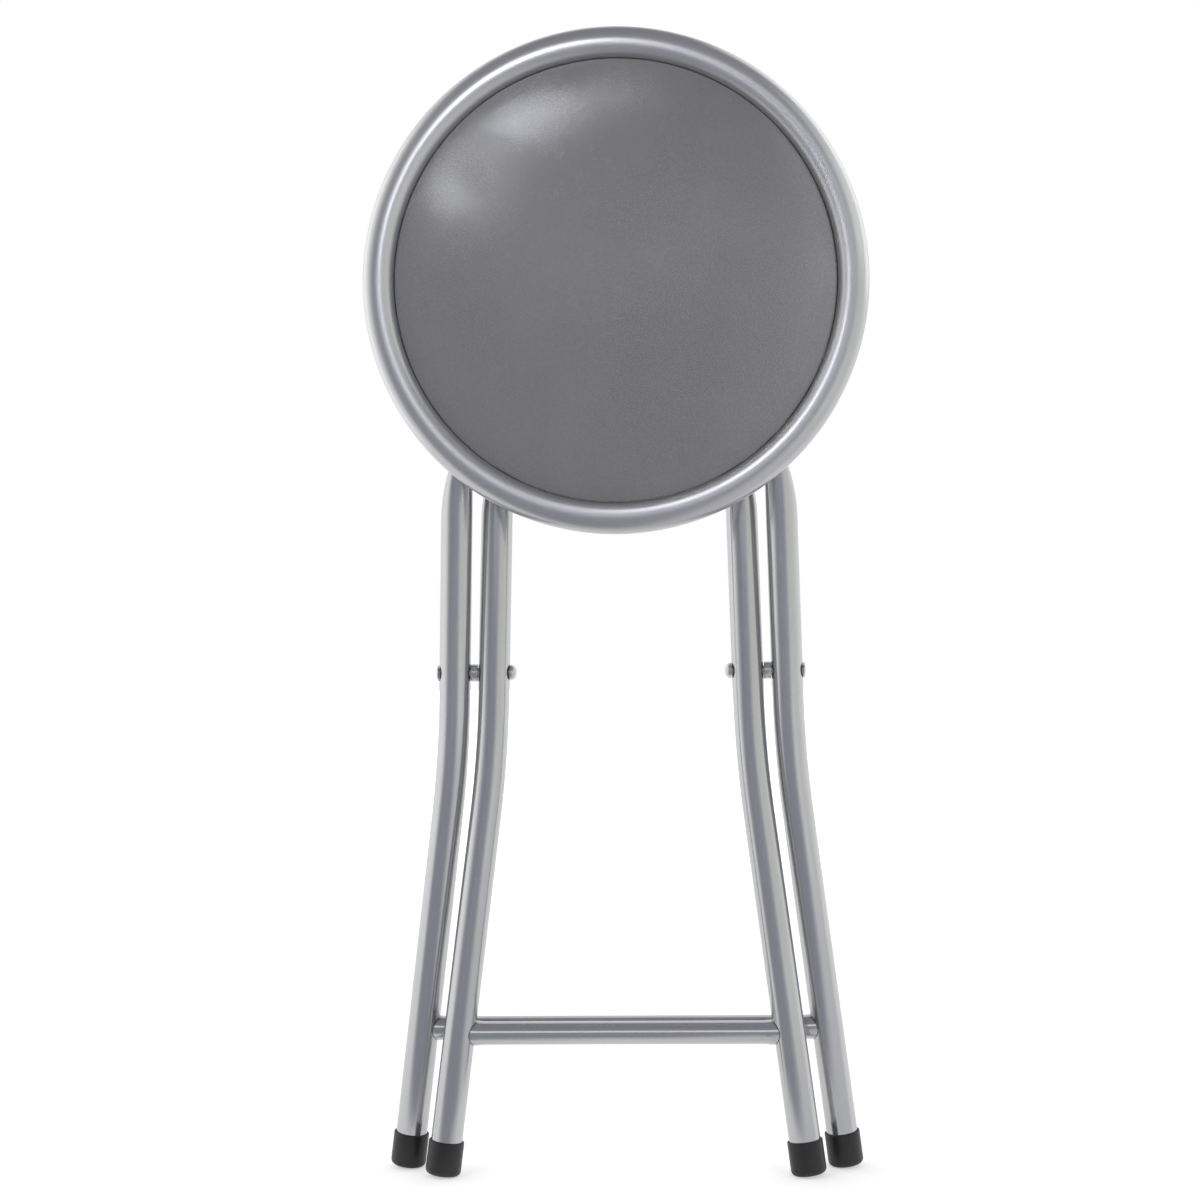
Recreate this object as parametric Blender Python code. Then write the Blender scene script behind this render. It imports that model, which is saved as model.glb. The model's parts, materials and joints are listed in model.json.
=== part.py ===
# Folding stool with a round padded seat, shown folded flat and standing on its feet.
# The two leg frames cross at a riveted pivot. The outer frame is hinged under the front of
# the seat. The inner frame ends in a rod that two catches under the seat drop over when open.
# Metres, +Z up, +X to the right, the seat faces -Y. The origin is under the middle of the box.

import math

import bmesh
import bpy
from mathutils import Matrix, Vector

# Clearance between pieces that touch or fit in each other
GAP = 0.0003

# Seat ring
RING_OUTER_DIAMETER = 0.300
RING_TUBE_DIAMETER = 0.019
RING_VENT_DIAMETER = 0.004
TUBE_WALL = 0.001

# Seat stack, heights measured from the ring's middle plane along the seat's upward normal
BOARD_UNDERSIDE = -0.003
BOARD_THICKNESS = 0.0035
BOARD_EDGE_ROUND = 0.0012
COVER_THICKNESS = 0.001
HEM_WIDTH = 0.014
PAD_CROWN = 0.0185
PAD_BULGE = 0.0003
PAD_BULGE_HEIGHT = 0.0020
PAD_SIDE_HEIGHT = 0.0002
PAD_ROUNDNESS = 2.6

# Straps that tie the ring to the board, and their screws
STRAP_WIDTH = 0.024
STRAP_THICKNESS = 0.0025
SCREW_SHANK_DIAMETER = 0.004
SCREW_HEAD_DIAMETER = 0.0085
SCREW_HEAD_HEIGHT = 0.0026
SCREW_BITE = 0.0024

# Legs, measured in the plane of their own frame from the pivot axis. The inset is how far
# the inner legs' middle lines stand inside the ring's outer edge at the pivot.
LEG_TUBE_DIAMETER = 0.019
LEG_RISE = 0.160
LEG_DROP = 0.302
LEG_INSET = 0.0733
SPACER_LENGTH = 0.0048
UPPER_SPLAY = math.radians(1.5)
LOWER_SPLAY = math.radians(7.3)
BEND_DROP = 0.050
BEND_RADIUS = 0.700
LEG_VENT_DIAMETER = 0.004
LEG_VENT_RISE = 0.013

# Flattened upper ends of the legs
TONGUE_THICKNESS = 0.004
TONGUE_WIDTH = 0.025
TONGUE_FLAT = 0.012
SQUEEZE_LENGTH = 0.055
TONGUE_SQUARENESS = 5
TONGUE_TIP_SWEEP = math.radians(80.0)

# How far each frame stands off the upright when the stool is open
OPEN_HALF_ANGLE = math.radians(27.0)

# Crossbars
BAR_DIAMETER = 0.014
BAR_FLARE_DIAMETER = 0.015
BAR_FLARE_LENGTH = 0.006
BAR_HEIGHT = 0.0845

# Foot caps
CAP_LENGTH = 0.0205
CAP_FLOOR = 0.004
CAP_WALL = 0.0009
CAP_EDGE_ROUND = 0.003

# Pivot and hinge rivets
RIVET_DIAMETER = 0.006
RIVET_HEAD_DIAMETER = 0.0095
RIVET_DOME_HEIGHT = 0.004
RIVET_LOW_HEIGHT = 0.0015
SPACER_DIAMETER = 0.0105

# Clevis brackets that carry the outer legs
BRACKET_THICKNESS = 0.002
BRACKET_PLAY = 0.0005
BRACKET_EAR_RADIUS = 0.008

# Rod at the top of the inner frame, and its catches
ROD_DIAMETER = 0.008
ROD_OVERHANG = 0.0025
ROD_CHAMFER = 0.001
CATCH_INSET = 0.014
CATCH_THICKNESS = 0.0025
CATCH_FLANGE = 0.014
CATCH_PLAY = 0.0005
CATCH_MOUTH_ANGLE = math.radians(60.0)
CATCH_FRONT_WALL = 0.005
CATCH_REAR_WALL = 0.006
CATCH_LIP = 0.005

# Facets round a turn
RING_STEPS = 64
PAD_STEPS = 48
PAD_RISE_STEPS = 6
TUBE_STEPS = 16
SMALL_STEPS = 16
BEND_STEPS = 6
SQUEEZE_STEPS = 6
TIP_STEPS = 4
CORNER_STEPS = 3
CAP_EDGE_STEPS = 4
EAR_STEPS = 8
STRAP_END_STEPS = 5

# Sizes worked out from the ones above
RING_TUBE_RADIUS = RING_TUBE_DIAMETER / 2
RING_RADIUS = RING_OUTER_DIAMETER / 2 - RING_TUBE_RADIUS
LEG_RADIUS = LEG_TUBE_DIAMETER / 2
TONGUE_RADIUS = TONGUE_WIDTH / 2
INNER_HALF_SPACING = RING_OUTER_DIAMETER / 2 - LEG_INSET
OUTER_HALF_SPACING = INNER_HALF_SPACING + LEG_TUBE_DIAMETER + SPACER_LENGTH
BOARD_TOP = BOARD_UNDERSIDE + BOARD_THICKNESS
HEM_UNDERSIDE = BOARD_UNDERSIDE - GAP - COVER_THICKNESS
STRAP_TOP = HEM_UNDERSIDE - GAP
STRAP_UNDERSIDE = STRAP_TOP - STRAP_THICKNESS
BRACKET_TOP = STRAP_UNDERSIDE - GAP
BRACKET_WEB_UNDERSIDE = BRACKET_TOP - BRACKET_THICKNESS
COVER_EDGE_RADIUS = RING_RADIUS - RING_TUBE_RADIUS - GAP
BOARD_RADIUS = COVER_EDGE_RADIUS - COVER_THICKNESS - GAP

# The hinge axis hangs low enough for the leg's end to turn under the bracket, and for the
# folded legs to lie behind the ring.
HINGE_DROP = max(RING_TUBE_RADIUS + GAP, GAP - BRACKET_WEB_UNDERSIDE) + TONGUE_RADIUS

# Open, the hinge and the rod stand level and the seat's middle is over the pivot.
HINGE_SETBACK = LEG_RISE * math.sin(OPEN_HALF_ANGLE)

# Folded, the inner legs rest against the outer crossbar.
BAR_DROP = LEG_DROP - BAR_HEIGHT
FOLD_HALF_ANGLE = math.asin((LEG_RADIUS + BAR_DIAMETER / 2 + GAP) / 2 / BAR_DROP)


def clear_scene():
    for old in list(bpy.data.objects):
        bpy.data.objects.remove(old, do_unlink=True)


def finish(obj, color, roughness, metallic):
    material = bpy.data.materials.new(obj.name)
    material.use_nodes = True
    shader = material.node_tree.nodes["Principled BSDF"]
    shader.inputs["Base Color"].default_value = (*color, 1.0)
    shader.inputs["Roughness"].default_value = roughness
    shader.inputs["Metallic"].default_value = metallic
    obj.data.materials.append(material)


def silver_paint(obj):
    finish(obj, (0.40, 0.40, 0.42), 0.32, 0.85)


def bright_steel(obj):
    finish(obj, (0.62, 0.62, 0.62), 0.25, 1.0)


def black_plastic(obj):
    finish(obj, (0.025, 0.025, 0.027), 0.5, 0.0)


def empty(name, parent=None, location=(0, 0, 0), rotation=(0, 0, 0)):
    axis = bpy.data.objects.new(name, None)
    axis.parent = parent
    axis.location = location
    axis.rotation_euler = rotation
    bpy.context.collection.objects.link(axis)
    return axis


def mesh_object(name, bm, parent, location=(0, 0, 0), rotation=(0, 0, 0)):
    bmesh.ops.recalc_face_normals(bm, faces=bm.faces)
    mesh = bpy.data.meshes.new(name)
    bm.to_mesh(mesh)
    bm.free()
    mesh.shade_smooth()
    mesh.set_sharp_from_angle(angle=math.radians(35))
    obj = bpy.data.objects.new(name, mesh)
    obj.parent = parent
    obj.location = location
    obj.rotation_euler = rotation
    bpy.context.collection.objects.link(obj)
    return obj


def cut(obj, cutter):
    boolean = obj.modifiers.new(cutter.name, "BOOLEAN")
    boolean.operation = "DIFFERENCE"
    boolean.solver = "EXACT"
    boolean.object = cutter
    cutter.hide_render = True
    cutter.display_type = "WIRE"


def turned(profile, steps):
    # Spins an outline of (radius, height) points once round the Z axis.
    bm = bmesh.new()
    points = [bm.verts.new((radius, 0, height)) for radius, height in profile]
    edges = [bm.edges.new(pair) for pair in zip(points, points[1:])]
    bmesh.ops.spin(
        bm, geom=points + edges, cent=(0, 0, 0), axis=(0, 0, 1), angle=math.tau, steps=steps, use_merge=True
    )
    bmesh.ops.remove_doubles(bm, verts=bm.verts, dist=1e-6)
    return bm


def arc(center, radius, start, end, steps):
    angles = [start + (end - start) * step / steps for step in range(steps + 1)]
    return [(center[0] + radius * math.cos(a), center[1] + radius * math.sin(a)) for a in angles]


def plate(outline, low, high, place):
    # Extrudes a flat outline from low to high. place turns (along, across, depth) into x, y, z.
    bm = bmesh.new()
    face = bm.faces.new([bm.verts.new(place(u, v, low)) for u, v in outline])
    grown = bmesh.ops.extrude_face_region(bm, geom=[face])
    moved = [item for item in grown["geom"] if isinstance(item, bmesh.types.BMVert)]
    shift = Vector(place(0, 0, high)) - Vector(place(0, 0, low))
    bmesh.ops.translate(bm, verts=moved, vec=shift)
    return bm


def side_view(y, z, x):
    return (x, y, z)


def plan_view(x, y, z):
    return (x, y, z)


def box(low, high):
    bm = bmesh.new()
    size = [b - a for a, b in zip(low, high)]
    middle = [(a + b) / 2 for a, b in zip(low, high)]
    bmesh.ops.create_cube(bm, size=1, matrix=Matrix.Translation(middle) @ Matrix.Diagonal((*size, 1)))
    return bm


def rod_along_x(name, radius, start, end, parent, location=(0, 0, 0)):
    # A plain round bar, used as a drill.
    bm = turned([(0, start), (radius, start), (radius, end), (0, end)], SMALL_STEPS)
    return mesh_object(name, bm, parent, location, (0, math.pi / 2, 0))


def skinned(loops):
    # Joins a row of closed loops into one skin, with a lid on the first and the last.
    bm = bmesh.new()
    rings = [[bm.verts.new(point) for point in loop] for loop in loops]
    for lower, upper in zip(rings, rings[1:]):
        for i in range(len(lower)):
            j = (i + 1) % len(lower)
            bm.faces.new((lower[i], lower[j], upper[j], upper[i]))
    bm.faces.new(rings[0])
    bm.faces.new(rings[-1])
    return bm


# Leg frames


def upper_line(half_spacing, height):
    return half_spacing - height * math.tan(UPPER_SPLAY)


def lower_line(half_spacing, height):
    return upper_line(half_spacing, -BEND_DROP) + (-BEND_DROP - height) * math.tan(LOWER_SPLAY)


def up_the_leg(half_spacing, along):
    # The point that lies this far up the lower stretch from the foot's underside.
    x = lower_line(half_spacing, -LEG_DROP) - along * math.sin(LOWER_SPLAY)
    return x, -LEG_DROP + along * math.cos(LOWER_SPLAY)


def bend_points(half_spacing):
    # Middle line of the bend as (x, height, lean), from its lower end to its upper end.
    turn = LOWER_SPLAY - UPPER_SPLAY
    tangent = BEND_RADIUS * math.tan(turn / 2)
    start_x = upper_line(half_spacing, -BEND_DROP) + tangent * math.sin(LOWER_SPLAY)
    start_z = -BEND_DROP - tangent * math.cos(LOWER_SPLAY)
    center_x = start_x + BEND_RADIUS * math.cos(LOWER_SPLAY)
    center_z = start_z + BEND_RADIUS * math.sin(LOWER_SPLAY)
    points = []
    for step in range(BEND_STEPS + 1):
        lean = LOWER_SPLAY - turn * step / BEND_STEPS
        x = center_x - BEND_RADIUS * math.cos(lean)
        points.append((x, center_z - BEND_RADIUS * math.sin(lean), lean))
    return points


def section(side, x, height, lean, across, depth, squareness):
    # One loop round the tube: round at squareness 2, nearer a flat bar above that.
    loop = []
    for step in range(TUBE_STEPS):
        angle = math.tau * step / TUBE_STEPS
        u = across * math.copysign(abs(math.cos(angle)) ** (2 / squareness), math.cos(angle))
        v = depth * math.copysign(abs(math.sin(angle)) ** (2 / squareness), math.sin(angle))
        loop.append((side * (x + u * math.cos(lean)), v, height + u * math.sin(lean)))
    return loop


def squeezed(side, half_spacing, height, share, depth):
    # share 0 is the round tube and 1 the flat tongue. The tube's inner side stays in line.
    across = LEG_RADIUS + (TONGUE_THICKNESS / 2 - LEG_RADIUS) * share
    x = upper_line(half_spacing, height) - LEG_RADIUS + across
    return section(side, x, height, 0, across, depth, 2 + (TONGUE_SQUARENESS - 2) * share)


def leg_mesh(side, half_spacing):
    end_x, end_z = up_the_leg(half_spacing, CAP_FLOOR + GAP)
    loops = []
    bore = LEG_RADIUS - TUBE_WALL
    squeeze_start = LEG_RISE - TONGUE_FLAT - SQUEEZE_LENGTH
    # The bore comes first, from its blind top down to the foot, then the outside goes back up.
    top_x = upper_line(half_spacing, squeeze_start)
    loops.append(section(side, top_x, squeeze_start, UPPER_SPLAY, bore, bore, 2))
    for x, height, lean in reversed(bend_points(half_spacing)):
        loops.append(section(side, x, height, lean, bore, bore, 2))
    loops.append(section(side, end_x, end_z, LOWER_SPLAY, bore, bore, 2))
    loops.append(section(side, end_x, end_z, LOWER_SPLAY, LEG_RADIUS, LEG_RADIUS, 2))
    for x, height, lean in bend_points(half_spacing):
        loops.append(section(side, x, height, lean, LEG_RADIUS, LEG_RADIUS, 2))
    for step in range(SQUEEZE_STEPS + 1):
        share = (step / SQUEEZE_STEPS) ** 2
        height = squeeze_start + SQUEEZE_LENGTH * step / SQUEEZE_STEPS
        depth = LEG_RADIUS + (TONGUE_RADIUS - LEG_RADIUS) * share
        loops.append(squeezed(side, half_spacing, height, share, depth))
    for step in range(TIP_STEPS + 1):
        angle = TONGUE_TIP_SWEEP * step / TIP_STEPS
        height = LEG_RISE + TONGUE_RADIUS * math.sin(angle)
        loops.append(squeezed(side, half_spacing, height, 1, TONGUE_RADIUS * math.cos(angle)))
    return skinned(loops)


def leg_axis_cutter(name, side, half_spacing, parent):
    # A bar along the lower stretch of a leg, as wide as the leg and its clearance.
    middle_x, middle_z = up_the_leg(half_spacing, BAR_HEIGHT)
    radius = LEG_RADIUS + GAP
    reach = 3 * BAR_FLARE_DIAMETER
    bm = turned([(0, -reach), (radius, -reach), (radius, reach), (0, reach)], 2 * SMALL_STEPS)
    rotation = (0, -side * LOWER_SPLAY, 0)
    return mesh_object(name, bm, parent, (side * middle_x, 0, middle_z), rotation)


def crossbar(name, half_spacing, parent):
    leg_x = up_the_leg(half_spacing, BAR_HEIGHT)[0]
    radius = BAR_DIAMETER / 2
    flare = BAR_FLARE_DIAMETER / 2
    bore = radius - TUBE_WALL
    flare_start = leg_x - LEG_RADIUS - BAR_FLARE_LENGTH
    outside = [(flare, -leg_x), (radius, -flare_start), (radius, flare_start), (flare, leg_x)]
    mouth = flare - TUBE_WALL
    inside = [(mouth, leg_x), (bore, flare_start), (bore, -flare_start), (mouth, -leg_x)]
    bm = turned(outside + inside + outside[:1], TUBE_STEPS)
    bar = mesh_object(name, bm, parent, (0, 0, -BAR_DROP), (0, math.pi / 2, 0))
    for side, word in ((-1, "left"), (1, "right")):
        cut(bar, leg_axis_cutter(f"{name}_saddle_{word}", side, half_spacing, parent))
    silver_paint(bar)
    return bar


def foot_cap(name, side, half_spacing, parent):
    bore = LEG_RADIUS + GAP
    outer = bore + CAP_WALL
    corner = arc((outer - CAP_EDGE_ROUND, CAP_EDGE_ROUND), CAP_EDGE_ROUND, -math.pi / 2, 0, CAP_EDGE_STEPS)
    mouth = [(outer, CAP_LENGTH), (bore, CAP_LENGTH), (bore, CAP_FLOOR), (0, CAP_FLOOR)]
    bm = turned([(0, 0)] + corner + mouth, TUBE_STEPS)
    foot_x, foot_z = up_the_leg(half_spacing, 0)
    cap = mesh_object(name, bm, parent, (side * foot_x, 0, foot_z), (0, -side * LOWER_SPLAY, 0))
    black_plastic(cap)
    return cap


def leg_frame(name, half_spacing, frame, tip_bore):
    pivot_drill = rod_along_x(
        f"{name}_pivot_drill", RIVET_DIAMETER / 2 + GAP, -2 * half_spacing, 2 * half_spacing, frame
    )
    tip_drill = rod_along_x(
        f"{name}_tip_drill", tip_bore, -2 * half_spacing, 2 * half_spacing, frame, (0, 0, LEG_RISE)
    )
    legs = []
    for side, word in ((-1, "left"), (1, "right")):
        leg = mesh_object(f"{name}_leg_{word}", leg_mesh(side, half_spacing), frame)
        cut(leg, pivot_drill)
        cut(leg, tip_drill)
        silver_paint(leg)
        foot_cap(f"{name}_foot_cap_{word}", side, half_spacing, frame)
        legs.append(leg)
    crossbar(f"{name}_crossbar", half_spacing, frame)
    return legs


def vent_legs(legs, half_spacing, frame):
    # Small vent holes through the outer wall, a little above the crossbar.
    x, z = up_the_leg(half_spacing, BAR_HEIGHT + LEG_VENT_RISE)
    for side, leg in zip((-1, 1), legs):
        reach = 2 * LEG_TUBE_DIAMETER
        drill = rod_along_x(f"{leg.name}_vent_drill", LEG_VENT_DIAMETER / 2, 0, reach, frame)
        drill.location = (side * x, 0, z)
        drill.rotation_euler = (0, side * math.pi / 2, 0)
        cut(leg, drill)


def catch_rod(frame):
    tongue_outside = upper_line(INNER_HALF_SPACING, LEG_RISE) - LEG_RADIUS + TONGUE_THICKNESS
    half = tongue_outside + ROD_OVERHANG
    radius = ROD_DIAMETER / 2
    end = [(0, half), (radius - ROD_CHAMFER, half), (radius, half - ROD_CHAMFER)]
    profile = end + [(r, -z) for r, z in reversed(end)]
    bm = turned(profile, SMALL_STEPS)
    rod = mesh_object("catch_rod", bm, frame, (0, 0, LEG_RISE), (0, math.pi / 2, 0))
    bright_steel(rod)


# Pivots


def rivet(name, start, end, start_height, end_height, parent, location=(0, 0, 0)):
    # A rivet along X whose heads bear on the two stated faces.
    shank = RIVET_DIAMETER / 2
    head = RIVET_HEAD_DIAMETER / 2
    low = start - GAP
    high = end + GAP
    dome = [(0.0, 1.0), (0.45, 0.88), (0.8, 0.55), (1.0, 0.0)]
    lower = [(head * r, low - start_height * h) for r, h in dome]
    upper = [(head * r, high + end_height * h) for r, h in reversed(dome)]
    bm = turned(lower + [(shank, low), (shank, high)] + upper, SMALL_STEPS)
    obj = mesh_object(name, bm, parent, location, (0, math.pi / 2, 0))
    bright_steel(obj)
    return obj


def pivots(axis):
    inside = INNER_HALF_SPACING - LEG_RADIUS
    outside = OUTER_HALF_SPACING + LEG_RADIUS
    seat = INNER_HALF_SPACING + LEG_RADIUS + GAP
    length = SPACER_LENGTH - 2 * GAP
    bore = RIVET_DIAMETER / 2 + GAP
    rim = SPACER_DIAMETER / 2
    sleeve = [(bore, 0), (rim, 0), (rim, length), (bore, length), (bore, 0)]
    for side, word in ((-1, "left"), (1, "right")):
        heads = (RIVET_DOME_HEIGHT, RIVET_LOW_HEIGHT)[::side]
        ends = sorted((side * inside, side * outside))
        rivet(f"pivot_rivet_{word}", ends[0], ends[1], heads[0], heads[1], axis)
        start = seat if side > 0 else -seat - length
        spacer = mesh_object(
            f"pivot_spacer_{word}", turned(sleeve, SMALL_STEPS), axis, (start, 0, 0), (0, math.pi / 2, 0)
        )
        silver_paint(spacer)


# Seat, modelled level about the hinge axis: y runs from the hinge towards the back


def seat_height(over_ring):
    return HINGE_DROP + over_ring


def torus(radius, tube, steps, tube_steps):
    circle = arc((radius, 0), tube, 0, math.tau, tube_steps)[:-1]
    return turned(circle + circle[:1], steps)


def seat_ring(seat):
    middle = (0, HINGE_SETBACK, seat_height(0))
    outside = torus(RING_RADIUS, RING_TUBE_RADIUS, RING_STEPS, TUBE_STEPS)
    ring = mesh_object("seat_ring", outside, seat, middle)
    bore = torus(RING_RADIUS, RING_TUBE_RADIUS - TUBE_WALL, RING_STEPS, TUBE_STEPS // 2)
    cut(ring, mesh_object("seat_ring_bore", bore, seat, middle))
    for side, word in ((-1, "front"), (1, "rear")):
        vent = turned([(0, -RING_TUBE_DIAMETER), (RING_VENT_DIAMETER / 2, -RING_TUBE_DIAMETER),
                       (RING_VENT_DIAMETER / 2, 0), (0, 0)], TUBE_STEPS // 2)
        place = (0, HINGE_SETBACK + side * RING_RADIUS, seat_height(0))
        cut(ring, mesh_object(f"seat_ring_vent_{word}", vent, seat, place))
    silver_paint(ring)


def pad_outline():
    # Outer outline of the cover as (radius, height), from the crown to the hem's inner edge.
    # The crown stays broad and the pad still meets the ring at a slope, as stretched vinyl does.
    bulge_radius = COVER_EDGE_RADIUS + PAD_BULGE
    bulge_height = BOARD_TOP + PAD_BULGE_HEIGHT
    rise = PAD_CROWN - bulge_height
    points = []
    for step in range(PAD_RISE_STEPS + 1):
        spread = math.sin(math.pi / 2 * step / PAD_RISE_STEPS)
        points.append((bulge_radius * spread, bulge_height + rise * (1 - spread**PAD_ROUNDNESS)))
    points.append((COVER_EDGE_RADIUS, PAD_SIDE_HEIGHT))
    corner = COVER_THICKNESS + BOARD_EDGE_ROUND
    hem = arc((COVER_EDGE_RADIUS - corner, HEM_UNDERSIDE + corner), corner, 0, -math.pi / 2, CORNER_STEPS)
    return points + hem + [(BOARD_RADIUS - HEM_WIDTH, HEM_UNDERSIDE)]


def inset(points, distance):
    # Moves an outline inwards, square to itself. The ends keep their own direction.
    moved = []
    for i, (r, z) in enumerate(points):
        before = points[max(i - 1, 0)]
        after = points[min(i + 1, len(points) - 1)]
        first = Vector((r - before[0], z - before[1]))
        second = Vector((after[0] - r, after[1] - z))
        first = first.normalized() if first.length else second.normalized()
        second = second.normalized() if second.length else first
        along = (first + second).normalized()
        share = distance / max(along.dot(second), 0.5)
        moved.append((max(r + along.y * share, 0) if r else 0, z - along.x * share))
    return moved


def seat_cover(seat):
    outside = pad_outline()
    inside = inset(outside, COVER_THICKNESS)
    inside[0] = (0, PAD_CROWN - COVER_THICKNESS)
    bm = turned(outside + inside[::-1], PAD_STEPS)
    cover = mesh_object("seat_cover", bm, seat, (0, HINGE_SETBACK, seat_height(0)))
    finish(cover, (0.17, 0.17, 0.18), 0.5, 0.0)


def seat_foam(seat):
    lining = inset(pad_outline(), COVER_THICKNESS + GAP)
    floor = BOARD_TOP + GAP
    side = [(r, z) for r, z in lining if z > floor]
    side[0] = (0, PAD_CROWN - COVER_THICKNESS - GAP)
    bm = turned(side + [(side[-1][0], floor), (0, floor)], PAD_STEPS)
    foam = mesh_object("seat_foam", bm, seat, (0, HINGE_SETBACK, seat_height(0)))
    finish(foam, (0.75, 0.70, 0.50), 0.9, 0.0)


def seat_board(seat):
    edge = BOARD_EDGE_ROUND
    low = arc((BOARD_RADIUS - edge, BOARD_UNDERSIDE + edge), edge, -math.pi / 2, 0, CORNER_STEPS)
    high = arc((BOARD_RADIUS - edge, BOARD_TOP - edge), edge, 0, math.pi / 2, CORNER_STEPS)
    bm = turned([(0, BOARD_UNDERSIDE)] + low + high + [(0, BOARD_TOP)], PAD_STEPS)
    board = mesh_object("seat_board", bm, seat, (0, HINGE_SETBACK, seat_height(0)))
    finish(board, (0.45, 0.30, 0.18), 0.8, 0.0)
    return board


def strap(name, middle, seat):
    # A flat bar across the ring, whose round ends follow the ring's inner side.
    drop = STRAP_TOP
    reach = RING_RADIUS - math.sqrt(RING_TUBE_RADIUS**2 - drop**2) - GAP
    near = middle - STRAP_WIDTH / 2
    far = middle + STRAP_WIDTH / 2
    right = arc((0, 0), reach, math.asin(near / reach), math.asin(far / reach), STRAP_END_STEPS)
    outline = right + [(-x, y) for x, y in reversed(right)]
    bm = plate(outline, STRAP_UNDERSIDE, STRAP_TOP, plan_view)
    bar = mesh_object(name, bm, seat, (0, HINGE_SETBACK, seat_height(0)))
    silver_paint(bar)
    return bar


def board_screw(name, x, y, under, seat, held):
    # Its head bears on the stated height, and it passes through the pieces that it holds.
    shank = SCREW_SHANK_DIAMETER / 2
    head = SCREW_HEAD_DIAMETER / 2
    tip = BOARD_UNDERSIDE + SCREW_BITE
    bottom = under - SCREW_HEAD_HEIGHT
    dome = [(0.0, 0.0), (0.55, 0.12), (0.9, 0.5), (1.0, 1.0)]
    pan = [(head * r, bottom + SCREW_HEAD_HEIGHT * h) for r, h in dome]
    body = [(shank, under), (shank, tip - shank), (0, tip)]
    place = (x, y, seat_height(0))
    screw = mesh_object(name, turned(pan + body, SMALL_STEPS), seat, place)
    bright_steel(screw)
    hole = [(0, under), (shank + GAP, under), (shank + GAP, tip + GAP), (0, tip + GAP)]
    drill = mesh_object(f"{name}_drill", turned(hole, SMALL_STEPS), seat, place)
    for piece in held:
        cut(piece, drill)


def hinge_bracket(name, side, seat, drill):
    # A folded clevis: a web against the strap and two round-ended ears beside the leg's tongue.
    tongue_inside = upper_line(OUTER_HALF_SPACING, LEG_RISE) - LEG_RADIUS
    tongue_outside = tongue_inside + TONGUE_THICKNESS
    slot = sorted((side * (tongue_inside - BRACKET_PLAY), side * (tongue_outside + BRACKET_PLAY)))
    web = seat_height(BRACKET_WEB_UNDERSIDE)
    top = seat_height(BRACKET_TOP)
    half = STRAP_WIDTH / 2
    ear = arc((0, 0), BRACKET_EAR_RADIUS, math.pi, math.tau, EAR_STEPS)
    outline = [(-half, top), (-half, web)] + ear + [(half, web), (half, top)]
    low = slot[0] - BRACKET_THICKNESS
    high = slot[1] + BRACKET_THICKNESS
    bracket = mesh_object(name, plate(outline, low, high, side_view), seat)
    room = TONGUE_WIDTH + STRAP_WIDTH
    channel = box((slot[0], -room, -room), (slot[1], room, web))
    cut(bracket, mesh_object(f"{name}_channel", channel, seat))
    cut(bracket, drill)
    bright_steel(bracket)
    word = name.split("_")[-1]
    rivet(f"hinge_rivet_{word}", low, high, RIVET_LOW_HEIGHT, RIVET_LOW_HEIGHT, seat)


def catch_face():
    # How far from the middle the outer face of a catch stands, inside the inner legs.
    return upper_line(INNER_HALF_SPACING, LEG_RISE) - LEG_RADIUS - CATCH_INSET


def rod_catch(name, side, seat):
    # A plate with a notch that opens to the front and down, under a flange against the strap.
    radius = ROD_DIAMETER / 2 + CATCH_PLAY
    mouth = Vector((-math.cos(CATCH_MOUTH_ANGLE), -math.sin(CATCH_MOUTH_ANGLE)))
    forward = Vector((mouth.y, -mouth.x))
    half = STRAP_WIDTH / 2
    top = seat_height(BRACKET_TOP)
    start = math.atan2(forward.y, forward.x)
    seat_arc = arc((0, 0), radius, start, start - math.pi, EAR_STEPS)
    front_end = forward * radius + mouth * CATCH_FRONT_WALL
    rear_end = -forward * radius + mouth * CATCH_REAR_WALL
    lip_end = rear_end - forward * CATCH_LIP
    outline = [(-half, top), (-half, 0), tuple(front_end)] + seat_arc
    outline += [tuple(rear_end), tuple(lip_end), (half, 0), (half, top)]
    face = catch_face()
    edges = sorted((side * face, side * (face - CATCH_FLANGE)))
    rod_y = 2 * HINGE_SETBACK
    catch = mesh_object(name, plate(outline, edges[0], edges[1], side_view), seat, (0, rod_y, 0))
    flange_underside = top - CATCH_THICKNESS
    waste = sorted((side * (face - CATCH_THICKNESS), side * (face - 2 * CATCH_FLANGE)))
    room = 2 * STRAP_WIDTH
    spare = box((waste[0], -room, -room), (waste[1], room, flange_underside))
    cut(catch, mesh_object(f"{name}_waste", spare, seat, (0, rod_y, 0)))
    bright_steel(catch)
    return catch


def seat_parts(seat):
    seat_ring(seat)
    board = seat_board(seat)
    seat_foam(seat)
    seat_cover(seat)
    front = strap("front_strap", -HINGE_SETBACK, seat)
    rear = strap("rear_strap", HINGE_SETBACK, seat)
    screw_x = catch_face() - (CATCH_THICKNESS + CATCH_FLANGE) / 2
    strap_face = STRAP_UNDERSIDE - GAP
    flange_face = BRACKET_TOP - CATCH_THICKNESS - GAP
    reach = 2 * OUTER_HALF_SPACING
    drill = rod_along_x("hinge_drill", RIVET_DIAMETER / 2 + GAP, -reach, reach, seat)
    for side, word in ((-1, "left"), (1, "right")):
        hinge_bracket(f"hinge_bracket_{word}", side, seat, drill)
        catch = rod_catch(f"rod_catch_{word}", side, seat)
        x = side * screw_x
        board_screw(f"board_screw_front_{word}", x, 0, strap_face, seat, (front, board))
        rear_y = 2 * HINGE_SETBACK
        board_screw(f"board_screw_rear_{word}", x, rear_y, flange_face, seat, (catch, rear, board))


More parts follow.
